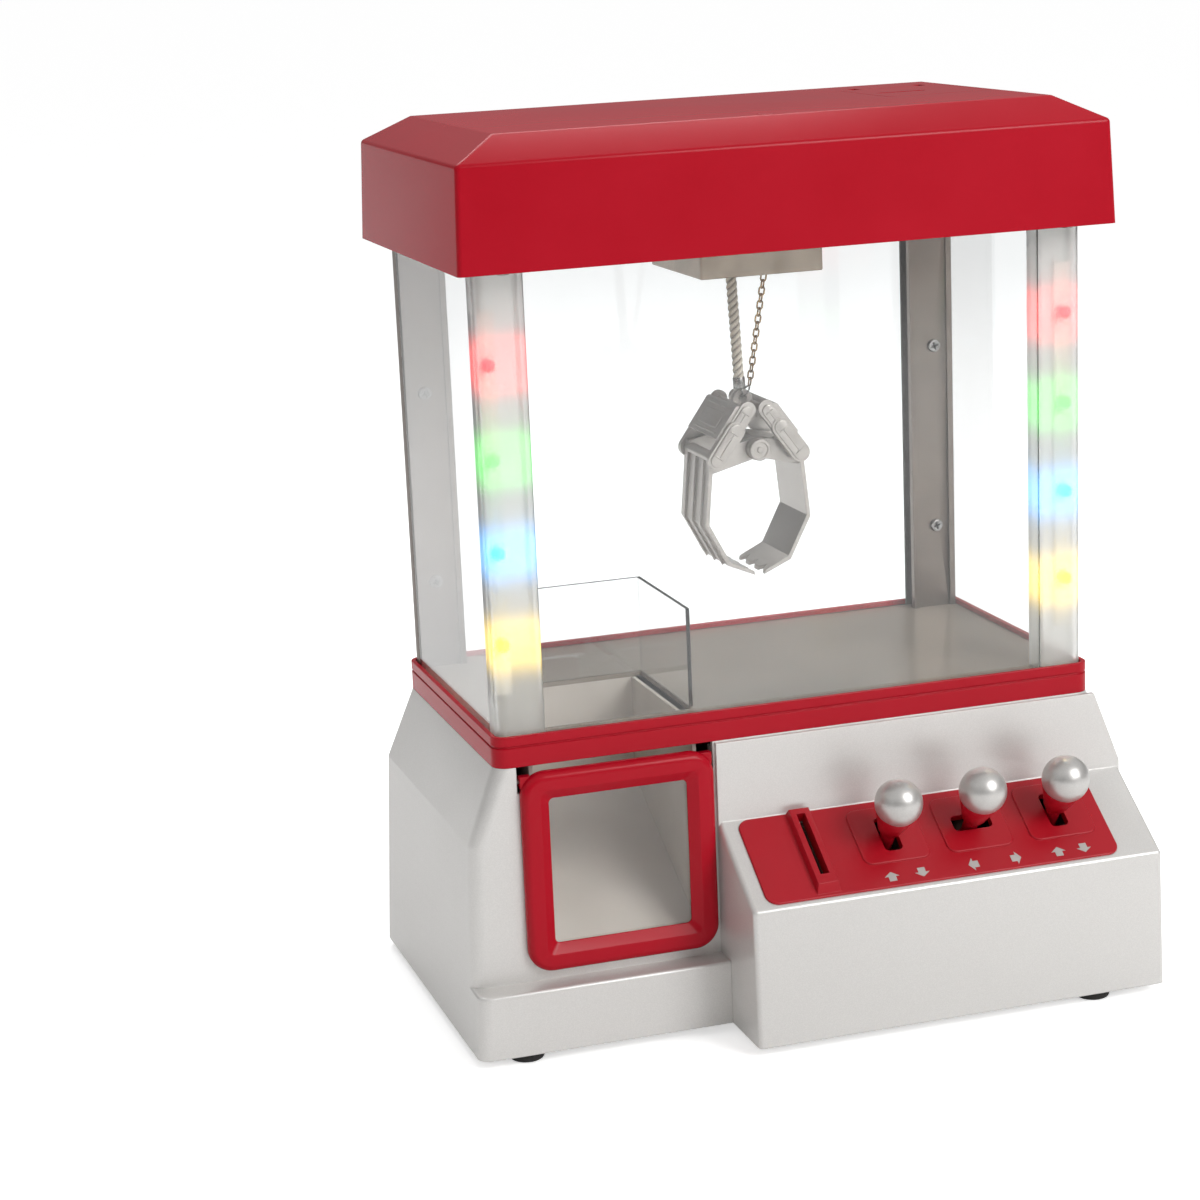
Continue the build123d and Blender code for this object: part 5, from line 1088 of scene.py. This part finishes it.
@dataclass
class ControlTrim:
    """Printed arrows and joystick collars of the control panel, in mm on the slope.

    Args:
        foot: Place of the slope's lower edge, front to back and up.
        angle: The slope's angle in degrees.
        face: Height of the panel's face over the slope.
        arrow_along: Place of the arrows up the slope.
        arrows: For each arrow, its place across and the way it points in degrees.
        arrow_size: Width and length of an arrow.
        ink: Thickness of the arrows' ink.
        ink_sink: How deep the ink is set into the panel.
        sticks: Places of the joysticks across.
        stick_along: Place of the joysticks up the slope.
        collar: Radius and height over the slope of each corner of a joystick's red collar.
    """

    foot: Pair = (-106.6, 59.2)
    angle: float = 34.83
    face: float = 0.8
    arrow_along: float = 6.9
    arrows: Outline = (
        (22.9, 0),
        (35.7, 180),
        (57.7, 90),
        (76.1, -90),
        (94.6, 0),
        (105.7, 180),
    )
    arrow_size: Pair = (6.2, 4.4)
    ink: float = 0.12
    ink_sink: float = 0.02
    sticks: tuple[float, ...] = (28.4, 64.4, 100.4)
    stick_along: float = 27.0
    collar: Outline = (
        (0, 4.6),
        (4.4, 4.6),
        (4.9, 5.0),
        (8.35, 16.2),
        (8.2, 16.7),
        (7.4, 16.9),
        (0, 16.9),
    )

    def on_slope(self, x: float, along: float, out: float) -> Matrix:
        """Return the matrix of a place on the slope, with Y up the slope and Z out of it."""
        lean = math.radians(self.angle)
        place = mm(
            x,
            self.foot[0] + along * math.cos(lean) - out * math.sin(lean),
            self.foot[1] + along * math.sin(lean) + out * math.cos(lean),
        )
        return Matrix.Translation(place) @ Matrix.Rotation(lean, 4, "X")

    def arrow_shape(self, x: float, turn: float) -> Shape:
        """Return one block arrow of thick ink."""
        width, length = (s * MM for s in self.arrow_size)
        shape = bmesh.new()
        outline = (
            (0, length / 2),
            (-width / 2, 0),
            (-width / 4, 0),
            (-width / 4, -length / 2),
            (width / 4, -length / 2),
            (width / 4, 0),
            (width / 2, 0),
        )
        face = shape.faces.new([shape.verts.new((a, b, 0)) for a, b in outline])
        raised = bmesh.ops.extrude_face_region(shape, geom=[face])["geom"]
        tops = [v for v in raised if isinstance(v, bmesh.types.BMVert)]
        bmesh.ops.translate(shape, vec=(0, 0, self.ink * MM), verts=tops)
        bmesh.ops.recalc_face_normals(shape, faces=shape.faces)
        spin = Matrix.Rotation(math.radians(turn), 4, "Z")
        return placed(shape, self.on_slope(x, self.arrow_along, self.face - self.ink_sink) @ spin)

    def build(self, shop: Workshop) -> None:
        """Make the arrows and the collars under the joysticks' balls."""
        arrows = joined([self.arrow_shape(x, turn) for x, turn in self.arrows])
        shop.piece("panel_arrows", arrows, ARROW_INK, "cabinet")
        for index, x in enumerate(self.sticks, 1):
            collar = placed(lathe(self.collar, 48), self.on_slope(x, self.stick_along, 0))
            shop.piece(f"joystick_{index}_collar", collar, RED_PANEL, f"stick_{index}")


@dataclass
class Studio:
    """The pale floor, the lamps of the room and the camera.

    Args:
        eye: The camera's place in mm.
        heading: The way it looks, turned from the back in radians.
        tilt: How far it looks down in radians.
        roll: How far it is rolled in radians.
        lens: Its focal length in mm.
        sensor: Its sensor's width in mm.
        shift: Its shift across and up.
        sky: Brightness of the room low down and overhead.
        floor_glow: How much the floor shines where it is seen.
        floor_bounce: How much it shines on the toy.
        floor_half: Half the floor's width in metres.
        sight: How far the camera sees in metres, past the floor's far corners.
    """

    eye: Triple = (-388.83, -1053.04, 435.11)
    heading: float = -0.28624
    tilt: float = 0.24428
    roll: float = -0.04748
    lens: float = 84.612
    sensor: float = 36.0
    shift: Pair = (0.02693, 0.01339)
    sky: Pair = (0.2, 0.62)
    floor_glow: float = 0.4
    floor_bounce: float = 0.1
    floor_half: float = 70.0
    sight: float = 150.0

    def camera(self) -> None:
        """Set up the camera."""
        data = bpy.data.cameras.new("camera")
        data.sensor_width = self.sensor
        data.lens = self.lens
        data.shift_x, data.shift_y = self.shift
        data.clip_end = self.sight
        made = bpy.data.objects.new("camera", data)
        bpy.context.scene.collection.objects.link(made)
        look = Vector(
            (
                -math.sin(self.heading) * math.cos(self.tilt),
                math.cos(self.heading) * math.cos(self.tilt),
                -math.sin(self.tilt),
            )
        )
        right = Vector((math.cos(self.heading), math.sin(self.heading), 0))
        up = right.cross(look)
        across = math.cos(self.roll) * right + math.sin(self.roll) * up
        above = -math.sin(self.roll) * right + math.cos(self.roll) * up
        turn = Matrix((across, above, -look)).transposed().to_4x4()
        made.matrix_world = Matrix.Translation(Vector(self.eye) * MM) @ turn
        bpy.context.scene.camera = made

    def softbox(self, name: str, place: Triple, size: Pair, power: float) -> None:
        """Hang one large soft lamp that faces the toy.

        Args:
            name: The lamp's name.
            place: Its place in metres.
            size: Its width and height in metres.
            power: Its power in watts.
        """
        data = bpy.data.lights.new(name, "AREA")
        data.shape = "RECTANGLE"
        data.size, data.size_y = size
        data.energy = power
        made = bpy.data.objects.new(name, data)
        bpy.context.scene.collection.objects.link(made)
        toy = Vector((0, 0, 0.18))
        made.location = place
        made.rotation_euler = (toy - Vector(place)).to_track_quat("-Z", "Y").to_euler()

    def floor(self) -> None:
        """Lay the pale floor."""
        shape = bmesh.new()
        bmesh.ops.create_grid(shape, x_segments=1, y_segments=1, size=self.floor_half)
        mesh = bpy.data.meshes.new("studio_floor")
        shape.to_mesh(mesh)
        shape.free()
        paper = MouldedPlastic("studio_paper", "F6F6F6", "F4F4F4", 0.9, 2.0, 0.01, 0.1)
        material = paper.make()
        shader = material.node_tree.nodes["Principled BSDF"]
        shader.inputs["Emission Color"].default_value = (1.0, 1.0, 1.0, 1.0)
        tree = material.node_tree
        rays = add(tree, "ShaderNodeLightPath")
        seen = add(
            tree,
            "ShaderNodeMath",
            {0: rays.outputs["Is Camera Ray"], 1: rays.outputs["Is Transmission Ray"]},
            operation="MAXIMUM",
        )
        glow = add(
            tree,
            "ShaderNodeMath",
            {0: seen.outputs[0], 1: self.floor_glow, 2: self.floor_bounce},
            operation="MULTIPLY_ADD",
        )
        tree.links.new(glow.outputs[0], shader.inputs["Emission Strength"])
        mesh.materials.append(material)
        made = bpy.data.objects.new("studio_floor", mesh)
        bpy.context.scene.collection.objects.link(made)

    def build(self) -> None:
        """Make the room."""
        self.camera()
        self.floor()
        world = bpy.data.worlds.new("studio")
        world.use_nodes = True
        sky = world.node_tree.nodes["Background"]
        sky.inputs["Color"].default_value = (1.0, 1.0, 1.0, 1.0)
        aim = add(world.node_tree, "ShaderNodeTexCoord").outputs["Generated"]
        height = add(world.node_tree, "ShaderNodeSeparateXYZ", {"Vector": aim}).outputs["Z"]
        light = ramp(world.node_tree, height, (SKY_LOW, SKY_HIGH), self.sky)
        world.node_tree.links.new(light, sky.inputs["Strength"])
        bpy.context.scene.world = world
        bpy.context.scene.view_settings.view_transform = "Standard"
        self.softbox("key_right", (0.9, -1.5, 1.2), (0.9, 0.9), 23.0)
        self.softbox("fill_left", (-1.6, -0.9, 0.9), (0.6, 1.2), 0.4)
        self.softbox("top_back", (0.1, 0.9, 1.6), (1.2, 0.6), 12.0)


def main() -> None:
    """Dress the frame, build every sub-assembly and light the room."""
    logging.basicConfig(level=logging.INFO, format="%(name)s: %(message)s")
    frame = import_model()
    shop = Workshop(frame)
    Studio().build()
    for kind, nodes in DRESS.items():
        for node in nodes:
            shop.dress(node, kind)
    Shells().build(shop)
    HoistLines().build(shop)
    ClawTrim().build(shop)
    ControlTrim().build(shop)
    PostTrim().build(shop)


if __name__ == "__main__":
    main()
